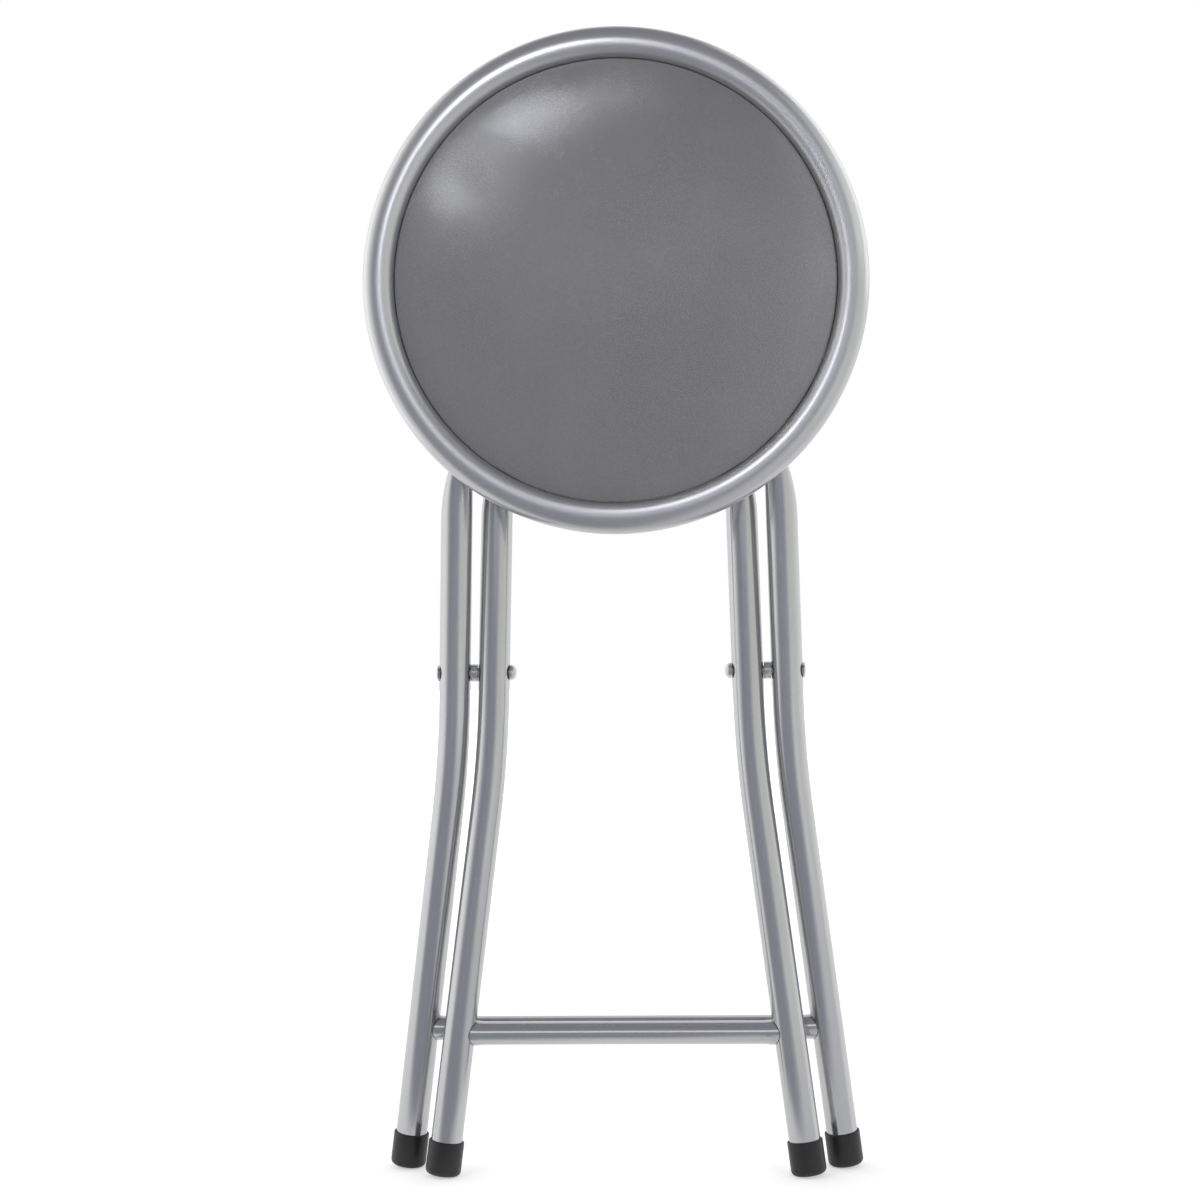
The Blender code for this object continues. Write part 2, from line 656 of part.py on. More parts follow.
def stand_on_floor(root):
    # Puts the middle of the box's underside at the origin.
    bpy.context.view_layer.update()
    graph = bpy.context.evaluated_depsgraph_get()
    points = []
    for obj in bpy.data.objects:
        if obj.type == "MESH" and not obj.hide_render:
            shape = obj.evaluated_get(graph)
            points += [shape.matrix_world @ vertex.co for vertex in shape.data.vertices]
    low = [min(point[i] for point in points) for i in range(3)]
    high = [max(point[i] for point in points) for i in range(3)]
    root.location = (-(low[0] + high[0]) / 2, -(low[1] + high[1]) / 2, -low[2])
    bpy.context.view_layer.update()
    print("size", [round(b - a, 5) for a, b in zip(low, high)])


def main():
    clear_scene()
    root = empty("stool")
    pivot = empty("pivot_axis", root)
    outer = empty("outer_frame_axis", pivot, rotation=(FOLD_HALF_ANGLE, 0, 0))
    inner = empty("inner_frame_axis", pivot, rotation=(-FOLD_HALF_ANGLE, 0, 0))
    seat = empty("seat_hinge_axis", outer, (0, 0, LEG_RISE), (math.pi / 2 - FOLD_HALF_ANGLE, 0, 0))
    pivots(pivot)
    outer_legs = leg_frame("outer", OUTER_HALF_SPACING, outer, RIVET_DIAMETER / 2 + GAP)
    vent_legs(outer_legs, OUTER_HALF_SPACING, outer)
    leg_frame("inner", INNER_HALF_SPACING, inner, ROD_DIAMETER / 2 + GAP)
    catch_rod(inner)
    seat_parts(seat)
    stand_on_floor(root)
    for axis in (pivot, seat):
        print(axis.name, [round(value, 6) for value in axis.matrix_world.translation])
    swing = math.degrees(OPEN_HALF_ANGLE - FOLD_HALF_ANGLE)
    print("frame swing", round(swing, 4), "seat fold", round(swing + 90, 4))


main()
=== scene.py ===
import json
import math

import bmesh
import bpy
from mathutils import Matrix, Vector, noise


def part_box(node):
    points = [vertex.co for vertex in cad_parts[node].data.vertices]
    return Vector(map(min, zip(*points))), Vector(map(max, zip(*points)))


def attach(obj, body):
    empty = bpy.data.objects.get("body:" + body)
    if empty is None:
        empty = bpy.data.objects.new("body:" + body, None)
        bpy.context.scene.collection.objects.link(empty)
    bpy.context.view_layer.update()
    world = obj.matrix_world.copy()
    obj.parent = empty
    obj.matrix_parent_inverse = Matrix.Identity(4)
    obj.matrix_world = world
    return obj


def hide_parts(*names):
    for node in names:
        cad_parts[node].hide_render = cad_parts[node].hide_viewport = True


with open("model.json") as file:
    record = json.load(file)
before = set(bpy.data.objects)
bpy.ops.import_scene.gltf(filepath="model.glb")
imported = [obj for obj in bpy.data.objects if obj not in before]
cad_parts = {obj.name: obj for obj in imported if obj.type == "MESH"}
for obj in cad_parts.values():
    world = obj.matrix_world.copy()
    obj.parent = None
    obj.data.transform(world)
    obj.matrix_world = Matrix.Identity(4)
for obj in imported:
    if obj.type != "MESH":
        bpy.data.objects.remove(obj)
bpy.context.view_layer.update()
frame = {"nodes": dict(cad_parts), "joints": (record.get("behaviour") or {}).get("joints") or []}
nodes = frame["nodes"]
joints = {joint["name"]: joint for joint in frame["joints"]}

# Both leg frames turn about the pivot and the seat about the hinge. Pieces are built level in
# these frames, and each place puts them where the folded stool has them.
pivotPoint = Vector(joints["outer_swing"]["pos_m"])
hingePoint = Vector(joints["seat_fold"]["pos_m"])
legRise = (hingePoint - pivotPoint).length
foldAngle = math.atan2(pivotPoint.y - hingePoint.y, hingePoint.z - pivotPoint.z)
pivotPlace = Matrix.Translation(pivotPoint)
outerPlace = pivotPlace @ Matrix.Rotation(foldAngle, 4, "X")
innerPlace = pivotPlace @ Matrix.Rotation(-foldAngle, 4, "X")
seatPlace = Matrix.Translation(hingePoint) @ Matrix.Rotation(math.pi / 2, 4, "X")
ringLow, ringHigh = [Vector(corner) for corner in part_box("seat_ring")]
ringTube = (ringHigh.y - ringLow.y) / 2
ringRadius = (ringHigh.x - ringLow.x) / 2 - ringTube
ringPlace = Matrix.Translation((ringLow + ringHigh) / 2) @ Matrix.Rotation(math.pi / 2, 4, "X")
alongX = Matrix.Rotation(math.pi / 2, 4, "Y")


def overRing(node):
    # Lowest and highest point of a seat node over the ring's middle plane.
    low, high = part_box(node)
    middle = (ringLow.y + ringHigh.y) / 2
    return middle - high[1], middle - low[1]


sideNames = ((-1, "left"), (1, "right"))
print("frame loaded, fold angle", round(math.degrees(foldAngle), 3))


# Camera

cameraSize = {
    "fromPivot": (0.037568, -1.350, 0.055542),
    "yaw": 2.105,
    "pitch": -0.515,
    "roll": -0.622,
    "lens": 66.94,
    "sensor": 36.0,
    "clip": (0.05, 60),
}


def addCamera(size):
    data = bpy.data.cameras.new("camera")
    data.lens = size["lens"]
    data.sensor_width = size["sensor"]
    data.sensor_fit = "HORIZONTAL"
    data.clip_start, data.clip_end = size["clip"]
    camera = bpy.data.objects.new("camera", data)
    bpy.context.collection.objects.link(camera)
    turn = Matrix.Rotation(math.radians(size["yaw"]), 4, "Z")
    turn = turn @ Matrix.Rotation(math.radians(90 + size["pitch"]), 4, "X")
    turn = turn @ Matrix.Rotation(math.radians(size["roll"]), 4, "Z")
    camera.matrix_world = Matrix.Translation(pivotPoint + Vector(size["fromPivot"])) @ turn
    bpy.context.scene.camera = camera


addCamera(cameraSize)


# Materials


def newMaterial(name):
    material = bpy.data.materials.new(name)
    material.use_nodes = True
    tree = material.node_tree
    return material, tree, tree.nodes["Principled BSDF"]


def bareMaterial(name):
    material, tree = newMaterial(name)[:2]
    tree.nodes.clear()
    return material, tree


def addNode(tree, kind, inputs=(), **settings):
    node = tree.nodes.new("ShaderNode" + kind)
    for key, value in settings.items():
        setattr(node, key, value)
    for key, value in dict(inputs).items():
        if isinstance(value, bpy.types.NodeSocket):
            tree.links.new(value, node.inputs[key])
        else:
            node.inputs[key].default_value = value
    return node


def addNoise(tree, coordinate, scale, detail=3.0, roughness=0.55):
    inputs = {"Vector": coordinate, "Scale": scale, "Detail": detail, "Roughness": roughness}
    return addNode(tree, "TexNoise", inputs).outputs["Fac"]


def addRange(tree, value, fromLow, fromHigh, toLow=0.0, toHigh=1.0):
    inputs = {0: value, 1: fromLow, 2: fromHigh, 3: toLow, 4: toHigh}
    return addNode(tree, "MapRange", inputs).outputs[0]


def addMix(tree, share, first, second, blend="MIX"):
    inputs = {0: share}
    for key, value in ((6, first), (7, second)):
        inputs[key] = value if isinstance(value, bpy.types.NodeSocket) else (*value, 1.0)
    return addNode(tree, "Mix", inputs, data_type="RGBA", blend_type=blend).outputs[2]


def addMath(tree, operation, first, second=0.0):
    return addNode(tree, "Math", {0: first, 1: second}, operation=operation).outputs[0]


def addVector(tree, operation, first, second=(0.0, 0.0, 0.0), output=0):
    inputs = {0: first, 1: second}
    return addNode(tree, "VectorMath", inputs, operation=operation).outputs[output]


def addBump(tree, height, strength, distance, under=None):
    inputs = {"Height": height, "Strength": strength, "Distance": distance}
    if under:
        inputs["Normal"] = under
    return addNode(tree, "Bump", inputs).outputs["Normal"]


def objectSpace(tree):
    return addNode(tree, "TexCoord").outputs["Object"]


def cornerTurn(tree):
    # Above 0.5 on outer corners, below it in hollows.
    return addNode(tree, "NewGeometry").outputs["Pointiness"]


def linkFinish(tree, shader, base, rough, normal):
    for key, value in (("Base Color", base), ("Roughness", rough), ("Normal", normal)):
        tree.links.new(value, shader.inputs[key])


silverLook = {
    "color": (0.48, 0.48, 0.49),
    "flakeColor": (0.52, 0.52, 0.53),
    "wornColor": (0.38, 0.37, 0.36),
    "metallic": 0.85,
    "roughness": 0.20,
    "ringRoughness": 0.32,
    "flakeScale": 2600,
    "peelScale": 420,
    "cloudScale": 22,
    "smudge": 0.10,
    "wornScale": 300,
    "wornCorner": (0.58, 0.70),
}


def silverPaint(look, name, roughness):
    # Metallic lacquer: fine flake, slight orange peel, and rubbed corners.
    material, tree, shader = newMaterial(name)
    where = objectSpace(tree)
    flake = addNoise(tree, where, look["flakeScale"], 2.0)
    cloud = addNoise(tree, where, look["cloudScale"], 4.0)
    flakeShare = addRange(tree, flake, 0.35, 0.7)
    base = addMix(tree, flakeShare, look["color"], look["flakeColor"])
    smudge = addRange(tree, cloud, 0.35, 0.7, 0.0, look["smudge"])
    base = addMix(tree, smudge, base, look["wornColor"])
    corner = addRange(tree, cornerTurn(tree), *look["wornCorner"])
    chips = addRange(tree, addNoise(tree, where, look["wornScale"]), 0.4, 0.65, 0.0, 0.8)
    worn = addMath(tree, "MULTIPLY", corner, chips)
    base = addMix(tree, worn, base, look["wornColor"])
    rough = addRange(tree, cloud, 0.3, 0.7, roughness - 0.02, roughness + 0.03)
    rough = addMath(tree, "ADD", rough, addRange(tree, flake, 0.3, 0.7, -0.01, 0.01))
    peel = addNoise(tree, where, look["peelScale"], 2.0)
    normal = addBump(tree, peel, 0.02, 0.0003)
    normal = addBump(tree, flake, 0.015, 0.0001, normal)
    linkFinish(tree, shader, base, rough, normal)
    shader.inputs["Metallic"].default_value = look["metallic"]
    return material


steelLook = {
    "color": (0.60, 0.60, 0.58),
    "blueTint": (0.52, 0.56, 0.62),
    # Painted shade colour for the hollows.
    "hollowShadeColor": (0.16, 0.15, 0.14),
    "roughness": 0.26,
    "cloudScale": 160,
    "hollowShadeCorner": (0.40, 0.48),
    "lineScale": 700,
    "lineStretch": (1, 9, 9),
}


def brightSteel(look):
    # Bright zinc plating: cloudy tint, fine rolling lines, and painted shade in the hollows.
    material, tree, shader = newMaterial("brightSteel")
    where = objectSpace(tree)
    cloud = addNoise(tree, where, look["cloudScale"], 4.0)
    tint = addRange(tree, cloud, 0.4, 0.65, 0.0, 0.8)
    base = addMix(tree, tint, look["color"], look["blueTint"])
    # Painted shade: the hollows are darkened towards the dark colour.
    hollowShade = addRange(tree, cornerTurn(tree), *look["hollowShadeCorner"], 0.7, 0.0)
    base = addMix(tree, hollowShade, base, look["hollowShadeColor"])
    stretch = addNode(tree, "Mapping", {"Vector": where, "Scale": look["lineStretch"]})
    lines = addNoise(tree, stretch.outputs[0], look["lineScale"], 3.0)
    rough = addRange(tree, lines, 0.3, 0.7, look["roughness"] - 0.06, look["roughness"] + 0.10)
    linkFinish(tree, shader, base, rough, addBump(tree, lines, 0.08, 0.0002))
    shader.inputs["Metallic"].default_value = 1.0
    return material


capLook = {
    "color": (0.013, 0.013, 0.014),
    "scuffColor": (0.085, 0.083, 0.080),
    "roughness": 0.42,
    "specular": 0.38,
    "scuffHeight": 0.0035,
    "scuffScale": 420,
    "scuffRough": 0.25,
    "mottle": 0.08,
    "mottleScale": 90,
    "sparkScale": 1800,
}


def blackCap(look):
    # Moulded plastic with a fine spark texture, scuffed where it meets the floor.
    material, tree, shader = newMaterial("blackCap")
    where = objectSpace(tree)
    height = addNode(tree, "SeparateXYZ", {0: where}).outputs[2]
    low = addRange(tree, height, 0.0, look["scuffHeight"], 1.0, 0.0)
    blotch = addRange(tree, addNoise(tree, where, look["scuffScale"], 5.0), 0.45, 0.68, 0.0, 0.9)
    scuff = addMath(tree, "MULTIPLY", low, blotch)
    patches = addNoise(tree, where, look["mottleScale"])
    mottle = addRange(tree, patches, 0.3, 0.7, 0.0, look["mottle"])
    base = addMix(tree, mottle, look["color"], look["scuffColor"])
    base = addMix(tree, scuff, base, look["scuffColor"])
    rough = addMath(tree, "MULTIPLY", scuff, look["scuffRough"])
    rough = addMath(tree, "ADD", rough, look["roughness"])
    spark = addNoise(tree, where, look["sparkScale"], 2.0)
    linkFinish(tree, shader, base, rough, addBump(tree, spark, 0.25, 0.0002))
    shader.inputs["Specular IOR Level"].default_value = look["specular"]
    return material


vinylLook = {
    "color": (0.165, 0.163, 0.172),
    # Painted highlight colour for the tops of the cells.
    "paintedTopColor": (0.187, 0.185, 0.193),
    "roughness": 0.19,
    "specular": 0.6,
    "grainScale": 950,
    "grainBlend": 0.35,
    "wobbleScale": 260.0,
    "wobble": (0.0016, 0.0016, 0.0016),
    "poreScale": 3200,
    "cloudScale": 26,
}


def greyVinyl(look):
    # Leathercloth: pebbled cells and finer pores, the cell tops paler as a painted highlight.
    material, tree, shader = newMaterial("greyVinyl")
    where = objectSpace(tree)
    inputs = {"Vector": where, "Scale": look["wobbleScale"], "Detail": 2.0}
    wobble = addNode(tree, "TexNoise", inputs).outputs["Color"]
    moved = addVector(tree, "ADD", where, addVector(tree, "MULTIPLY", wobble, look["wobble"]))
    inputs = {"Vector": moved, "Scale": look["grainScale"], "Smoothness": look["grainBlend"]}
    cells = addNode(tree, "TexVoronoi", inputs, feature="SMOOTH_F1").outputs["Distance"]
    pores = addNoise(tree, where, look["poreScale"], 2.0)
    cloud = addNoise(tree, where, look["cloudScale"], 4.0)
    # Painted highlight: the tops of the cells are lighter and the grooves between them darker.
    top = addRange(tree, cells, 0.1, 0.6, 1.0, 0.0)
    base = addMix(tree, top, look["color"], look["paintedTopColor"])
    shade = addRange(tree, cloud, 0.3, 0.7, 0.0, 0.10)
    base = addMix(tree, shade, base, look["color"], "MULTIPLY")
    rough = addRange(tree, cells, 0.1, 0.6, look["roughness"] - 0.03, look["roughness"] + 0.08)
    rough = addMath(tree, "ADD", rough, addRange(tree, cloud, 0.3, 0.7, -0.03, 0.03))
    normal = addBump(tree, top, 0.11, 0.0004)
    normal = addBump(tree, pores, 0.06, 0.0002, normal)
    linkFinish(tree, shader, base, rough, normal)
    shader.inputs["Specular IOR Level"].default_value = look["specular"]
    return material


boardLook = {
    "color": (0.36, 0.24, 0.14),
    "fibreColor": (0.24, 0.15, 0.085),
    "roughness": 0.72,
    "fibreScale": 420.0,
    "fibreStretch": (1.0, 1.0, 3.0),
    "fleckScale": 900,
}


def fibreBoard(look):
    # Pressed fibre board: short matted fibres and darker flecks.
    material, tree, shader = newMaterial("fibreBoard")
    where = objectSpace(tree)
    bend = {"Vector": where, "Scale": look["fibreStretch"]}
    drawn = addNode(tree, "Mapping", bend).outputs[0]
    inputs = {"Vector": drawn, "Scale": look["fibreScale"], "Detail": 6.0, "Distortion": 1.8}
    fibres = addNode(tree, "TexNoise", inputs).outputs["Fac"]
    flecks = addNoise(tree, where, look["fleckScale"], 2.0)
    matted = addRange(tree, fibres, 0.35, 0.7, 0.0, 0.8)
    base = addMix(tree, matted, look["color"], look["fibreColor"])
    base = addMix(tree, addRange(tree, flecks, 0.62, 0.75, 0.0, 0.6), base, look["fibreColor"])
    rough = addRange(tree, fibres, 0.3, 0.7, look["roughness"] - 0.08, look["roughness"] + 0.1)
    linkFinish(tree, shader, base, rough, addBump(tree, fibres, 0.25, 0.0003))
    return material


paint = silverPaint(silverLook, "silverPaint", silverLook["roughness"])
ringPaint = silverPaint(silverLook, "ringPaint", silverLook["ringRoughness"])
steel = brightSteel(steelLook)
plastic = blackCap(capLook)
vinyl = greyVinyl(vinylLook)
fibre = fibreBoard(boardLook)
print("materials ready")


# Mesh helpers

meshSize = {
    "sharpAngle": math.radians(35),
    "bevel": 0.0004,
    "bevelAngle": math.radians(40),
    "bevelSteps": 2,
    "cutterRoom": 0.05,
    "samePoint": 1e-7,
}


def makeObject(name, bm, place, material, sharpAngle=meshSize["sharpAngle"]):
    bmesh.ops.recalc_face_normals(bm, faces=bm.faces)
    mesh = bpy.data.meshes.new(name)
    bm.to_mesh(mesh)
    bm.free()
    mesh.shade_smooth()
    mesh.set_sharp_from_angle(angle=sharpAngle)
    if material:
        mesh.materials.append(material)
    piece = bpy.data.objects.new(name, mesh)
    bpy.context.collection.objects.link(piece)
    piece.matrix_world = place
    return piece


def applyModifiers(piece):
    bpy.context.view_layer.update()
    shape = piece.evaluated_get(bpy.context.evaluated_depsgraph_get())
    mesh = bpy.data.meshes.new_from_object(shape)
    piece.modifiers.clear()
    old = piece.data
    piece.data = mesh
    bpy.data.meshes.remove(old)


def carve(piece, bm):
    # Takes the cutter's shape, given in the piece's own frame, out of the piece.
    cutter = makeObject(piece.name + "Cutter", bm, piece.matrix_world.copy(), None)
    boolean = piece.modifiers.new("carve", "BOOLEAN")
    boolean.solver = "EXACT"
    boolean.object = cutter
    applyModifiers(piece)
    bpy.data.objects.remove(cutter)
    piece.data.set_sharp_from_angle(angle=meshSize["sharpAngle"])


def softenEdges(piece):
    bevel = piece.modifiers.new("bevel", "BEVEL")
    bevel.width = meshSize["bevel"]
    bevel.segments = meshSize["bevelSteps"]
    bevel.limit_method = "ANGLE"
    bevel.angle_limit = meshSize["bevelAngle"]
    piece.modifiers.new("normals", "WEIGHTED_NORMAL").keep_sharp = True
    applyModifiers(piece)


def assign(piece, body, slotName, *replaced):
    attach(piece, body)
    if replaced:
        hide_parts(*replaced)


def turns(count):
    return [math.tau * step / count for step in range(count)]


def spun(profile, around, bm=None, place=Matrix.Identity(4)):
    # Turns (radius, height) points round Z. A radius of 0 becomes a single point.
    bm = bm or bmesh.new()
    rings = []
    for radius, height in profile:
        points = [(radius * math.cos(a), radius * math.sin(a), height) for a in turns(around)]
        if radius < meshSize["samePoint"]:
            points = [(0, 0, height)]
        rings.append([bm.verts.new(place @ Vector(point)) for point in points])
    for low, high in zip(rings, rings[1:]):
        for i in range(around):
            j = (i + 1) % around
            corners = [low[i % len(low)], low[j % len(low)]]
            corners += [high[j % len(high)], high[i % len(high)]]
            bm.faces.new(list(dict.fromkeys(corners)))
    return bm


def addDrill(bm, radius, ends, around, place):
    # A round cutter along the place's Z.
    low, high = sorted(ends)
    spun([(0, low), (radius, low), (radius, high), (0, high)], around, bm, place)


def joinLoops(loops, closedRow=False, bm=None):
    bm = bm or bmesh.new()
    rows = [[bm.verts.new(point) for point in loop] for loop in loops]
    pairs = list(zip(rows, rows[1:]))
    if closedRow:
        pairs.append((rows[-1], rows[0]))
    for low, high in pairs:
        for i in range(len(low)):
            j = (i + 1) % len(low)
            bm.faces.new((low[i], low[j], high[j], high[i]))
    if not closedRow:
        bm.faces.new(rows[0])
        bm.faces.new(rows[-1])
    return bm


def extruded(outline, ends):
    # A side outline of (y, z) points, drawn out along x.
    return joinLoops([[(x, y, z) for y, z in outline] for x in ends])


def blockCutter(ends, top):
    # Clears all that is under a height between two ends in x.
    room = meshSize["cutterRoom"]
    return extruded(((-room, -room), (room, -room), (room, top), (-room, top)), ends)


def arc(centre, radius, start, end, count):
    angles = [start + (end - start) * step / count for step in range(count + 1)]
    return [(centre[0] + radius * math.cos(a), centre[1] + radius * math.sin(a)) for a in angles]


def quarter(count):
    return [math.pi / 2 * step / count for step in range(count + 1)]


def turnedAt(x, z, angle):
    # A place in the legs' plane, turned about Y.
    return Matrix.Translation((x, 0, z)) @ Matrix.Rotation(angle, 4, "Y")


def ease(share):
    return share * share * (3 - 2 * share)


def spaced(start, end, length):
    count = max(1, round(abs(end - start) / length))
    return [start + (end - start) * i / count for i in range(count + 1)]


# Legs

legSize = {
    "radius": 0.0095,
    "innerHalf": 0.0767,
    "outerHalf": 0.1005,
    "drop": 0.302,
    "upperSplay": math.radians(1.5),
    "lowerSplay": math.radians(7.3),
    "bendDrop": 0.050,
    "bendRadius": 0.700,
    "tongueThickness": 0.004,
    "tongueRadius": 0.0125,
    "tongueFlat": 0.012,
    "squeezeLength": 0.055,
    "squareness": 5,
    "tipSweep": math.radians(80),
    "capFloor": 0.0043,
    "around": 48,
    "spacing": 0.012,
    "bendSteps": 16,
    "squeezeSteps": 24,
    "tipSteps": 10,
    "pivotBore": 0.0033,
    "rodBore": 0.0043,
    "boreAround": 24,
    "drillReach": 0.03,
    "ventRadius": 0.002,
    "ventHeight": 0.0975,
    "ventReach": (0.003, 0.02),
    "ventAround": 20,
}


def upperX(size, half, height):
    return half - height * math.tan(size["upperSplay"])


def lowerX(size, half, height):
    bendX = upperX(size, half, -size["bendDrop"])
    return bendX - (size["bendDrop"] + height) * math.tan(size["lowerSplay"])


def footPoint(size, half, along):
    splay = size["lowerSplay"]
    x = lowerX(size, half, -size["drop"]) - along * math.sin(splay)
    return x, -size["drop"] + along * math.cos(splay)


def tubeLoop(size, side, x, height, lean, across, depth, squareness):
    loop = []
    for angle in turns(size["around"]):
        u = across * math.copysign(abs(math.cos(angle)) ** (2 / squareness), math.cos(angle))
        v = depth * math.copysign(abs(math.sin(angle)) ** (2 / squareness), math.sin(angle))
        loop.append((side * (x + u * math.cos(lean)), v, height + u * math.sin(lean)))
    return loop


def legLine(size, half, squeezeStart):
    # Middle line from the foot to the start of the squeeze, as (x, height, lean).
    low = size["lowerSplay"]
    turn = low - size["upperSplay"]
    tangent = size["bendRadius"] * math.tan(turn / 2)
    startX = upperX(size, half, -size["bendDrop"]) + tangent * math.sin(low)
    startZ = -size["bendDrop"] - tangent * math.cos(low)
    centreX = startX + size["bendRadius"] * math.cos(low)
    centreZ = startZ + size["bendRadius"] * math.sin(low)
    endX, endZ = footPoint(size, half, size["capFloor"])
    line = [(lowerX(size, half, z), z, low) for z in spaced(endZ, startZ, size["spacing"])]
    line[0] = (endX, endZ, low)
    for step in range(1, size["bendSteps"] + 1):
        lean = low - turn * step / size["bendSteps"]
        x = centreX - size["bendRadius"] * math.cos(lean)
        line.append((x, centreZ - size["bendRadius"] * math.sin(lean), lean))
    upper = spaced(line[-1][1], squeezeStart, size["spacing"])[1:-1]
    return line + [(upperX(size, half, z), z, size["upperSplay"]) for z in upper]


def addLeg(size, kind, side, word, half, place, tipBore):
    flat = size["tongueThickness"] / 2
    radius = size["radius"]
    squeezeStart = legRise - size["tongueFlat"] - size["squeezeLength"]
    line = legLine(size, half, squeezeStart)
    loops = [tubeLoop(size, side, x, z, lean, radius, radius, 2) for x, z, lean in line]

    def flatLoop(height, share, depth):
        across = radius + (flat - radius) * share
        x = upperX(size, half, height) - radius + across
        squareness = 2 + (size["squareness"] - 2) * share
        return tubeLoop(size, side, x, height, 0, across, depth, squareness)

    count = size["squeezeSteps"]
    for step in range(count + 1):
        share = (step / count) ** 2
        depth = radius + (size["tongueRadius"] - radius) * share
        loops.append(flatLoop(squeezeStart + size["squeezeLength"] * step / count, share, depth))
    for step in range(size["tipSteps"] + 1):
        angle = size["tipSweep"] * step / size["tipSteps"]
        height = legRise + size["tongueRadius"] * math.sin(angle)
        loops.append(flatLoop(height, 1, size["tongueRadius"] * math.cos(angle)))
    leg = makeObject(f"{kind}Tube_{word}", joinLoops(loops), place, paint)
    drills = bmesh.new()
    ends = (side * (half - size["drillReach"]), side * (half + size["drillReach"]))
    for bore, height in ((size["pivotBore"], 0), (tipBore, legRise)):
        hole = Matrix.Translation((0, 0, height)) @ alongX
        addDrill(drills, bore, ends, size["boreAround"], hole)
    if kind == "outer":
        x, z = footPoint(size, half, size["ventHeight"])
        hole = turnedAt(side * x, z, side * math.pi / 2)
        addDrill(drills, size["ventRadius"], size["ventReach"], size["ventAround"], hole)
    carve(leg, drills)
    assign(leg, f"{kind}_frame", "silver_paint", f"{kind}_leg_{word}")


legFrames = {
    "outer": (legSize["outerHalf"], outerPlace),
    "inner": (legSize["innerHalf"], innerPlace),
}
tipBores = {"outer": legSize["pivotBore"], "inner": legSize["rodBore"]}
for side, word in sideNames:
    for kind, (half, place) in legFrames.items():
        addLeg(legSize, kind, side, word, half, place, tipBores[kind])
print("legs built")


# Crossbars, with ends that are flared and cut to the round of the legs

barSize = {
    "radius": 0.007,
    "flareRadius": 0.0075,
    "flareLength": 0.006,
    "height": 0.0845,
    "wall": 0.001,
    "gap": 0.0004,
    "around": 48,
    "mouthDepth": 0.006,
    "flareShare": 0.9,
    "flareSteps": 6,
}


def addCrossbar(size, legs, kind, half, place):
    drop = legs["drop"] - size["height"]
    start = lowerX(legs, half, -drop) - legs["radius"] - size["flareLength"]
    reach = legs["radius"] + size["gap"]
    wide = size["flareRadius"]
    mouth = wide - size["wall"]

    def saddle(side, radius, inset=0):
        loop = []
        for angle in turns(size["around"]):
            y = radius * math.cos(angle)
            z = -drop + radius * math.sin(angle)
            x = lowerX(legs, half, z) - math.sqrt(reach**2 - y**2) / math.cos(legs["lowerSplay"])
            loop.append((side * (x - inset), y, z))
        return loop

    def plain(x, radius):
        angles = turns(size["around"])
        return [(x, radius * math.cos(a), -drop + radius * math.sin(a)) for a in angles]

    flare = []
    count = size["flareSteps"]
    for i in range(count + 1):
        x = start + size["flareLength"] * size["flareShare"] * i / count
        flare.append((x, size["radius"] + (wide - size["radius"]) * ease(i / count)))
    loops = [saddle(-1, mouth, size["mouthDepth"]), saddle(-1, mouth), saddle(-1, wide)]
    loops += [plain(-x, r) for x, r in reversed(flare)]
    loops += [plain(x, size["radius"]) for x in spaced(-start, start, legs["spacing"])[1:-1]]
    loops += [plain(x, r) for x, r in flare]
    loops += [saddle(1, wide), saddle(1, mouth), saddle(1, mouth, size["mouthDepth"])]
    bar = makeObject(f"{kind}Bar", joinLoops(loops), place, paint)
    assign(bar, f"{kind}_frame", "silver_paint", f"{kind}_crossbar")


for kind, (half, place) in legFrames.items():
    addCrossbar(barSize, legSize, kind, half, place)


# Foot caps

capSize = {
    "length": 0.0205,
    "floor": 0.004,
    "bore": 0.0098,
    "wall": 0.0009,
    "edgeRound": 0.003,
    "lip": 0.0006,
    "mouthRound": 0.0003,
    "hollow": ((0, 0.0005), (0.0052, 0.0005), (0.0060, 0)),  # shallow, under the foot
    "edgeSteps": 8,
    "lipSteps": 4,
    "around": 64,
}


def addFootCap(size, kind, side, word, half, place):
    outer = size["bore"] + size["wall"]
    edge = size["edgeRound"]
    lip = size["lip"]
    length = size["length"]
    profile = list(size["hollow"])
    profile += arc((outer - edge, edge), edge, -math.pi / 2, 0, size["edgeSteps"])
    profile += arc((outer - lip, length - lip), lip, 0, math.pi / 2, size["lipSteps"])
    profile += [(size["bore"], length - size["mouthRound"])]
    profile += [(size["bore"], size["floor"]), (0, size["floor"])]
    x, z = footPoint(legSize, half, 0)
    local = turnedAt(side * x, z, -side * legSize["lowerSplay"])
    cap = makeObject(f"{kind}Cap_{word}", spun(profile, size["around"]), place @ local, plastic)
    assign(cap, f"{kind}_frame", "black_plastic", f"{kind}_foot_cap_{word}")


for side, word in sideNames:
    for kind, (half, place) in legFrames.items():
        addFootCap(capSize, kind, side, word, half, place)
print("crossbars and caps built")


# Rivets, spacers and the catch rod

rivetSize = {
    "radius": 0.003,
    "head": 0.00475,
    "dome": 0.004,
    "low": 0.0015,
    "gap": 0.0003,
    "rim": 0.0003,
    "dimple": 0.0014,
    "punch": ((0, 0.55), (0.7, 0.6)),  # shares of the dimple's radius and the head's height
    "headSteps": 8,
    "around": 40,
}
spacerSize = {
    "radius": 0.00525,
    "bore": 0.0033,
    "length": 0.0042,
    "round": 0.0004,
    "roundSteps": 4,
    "boreRound": 0.0002,
    "around": 40,
}
rodSize = {"radius": 0.004, "chamfer": 0.001, "overhang": 0.0025, "around": 40}


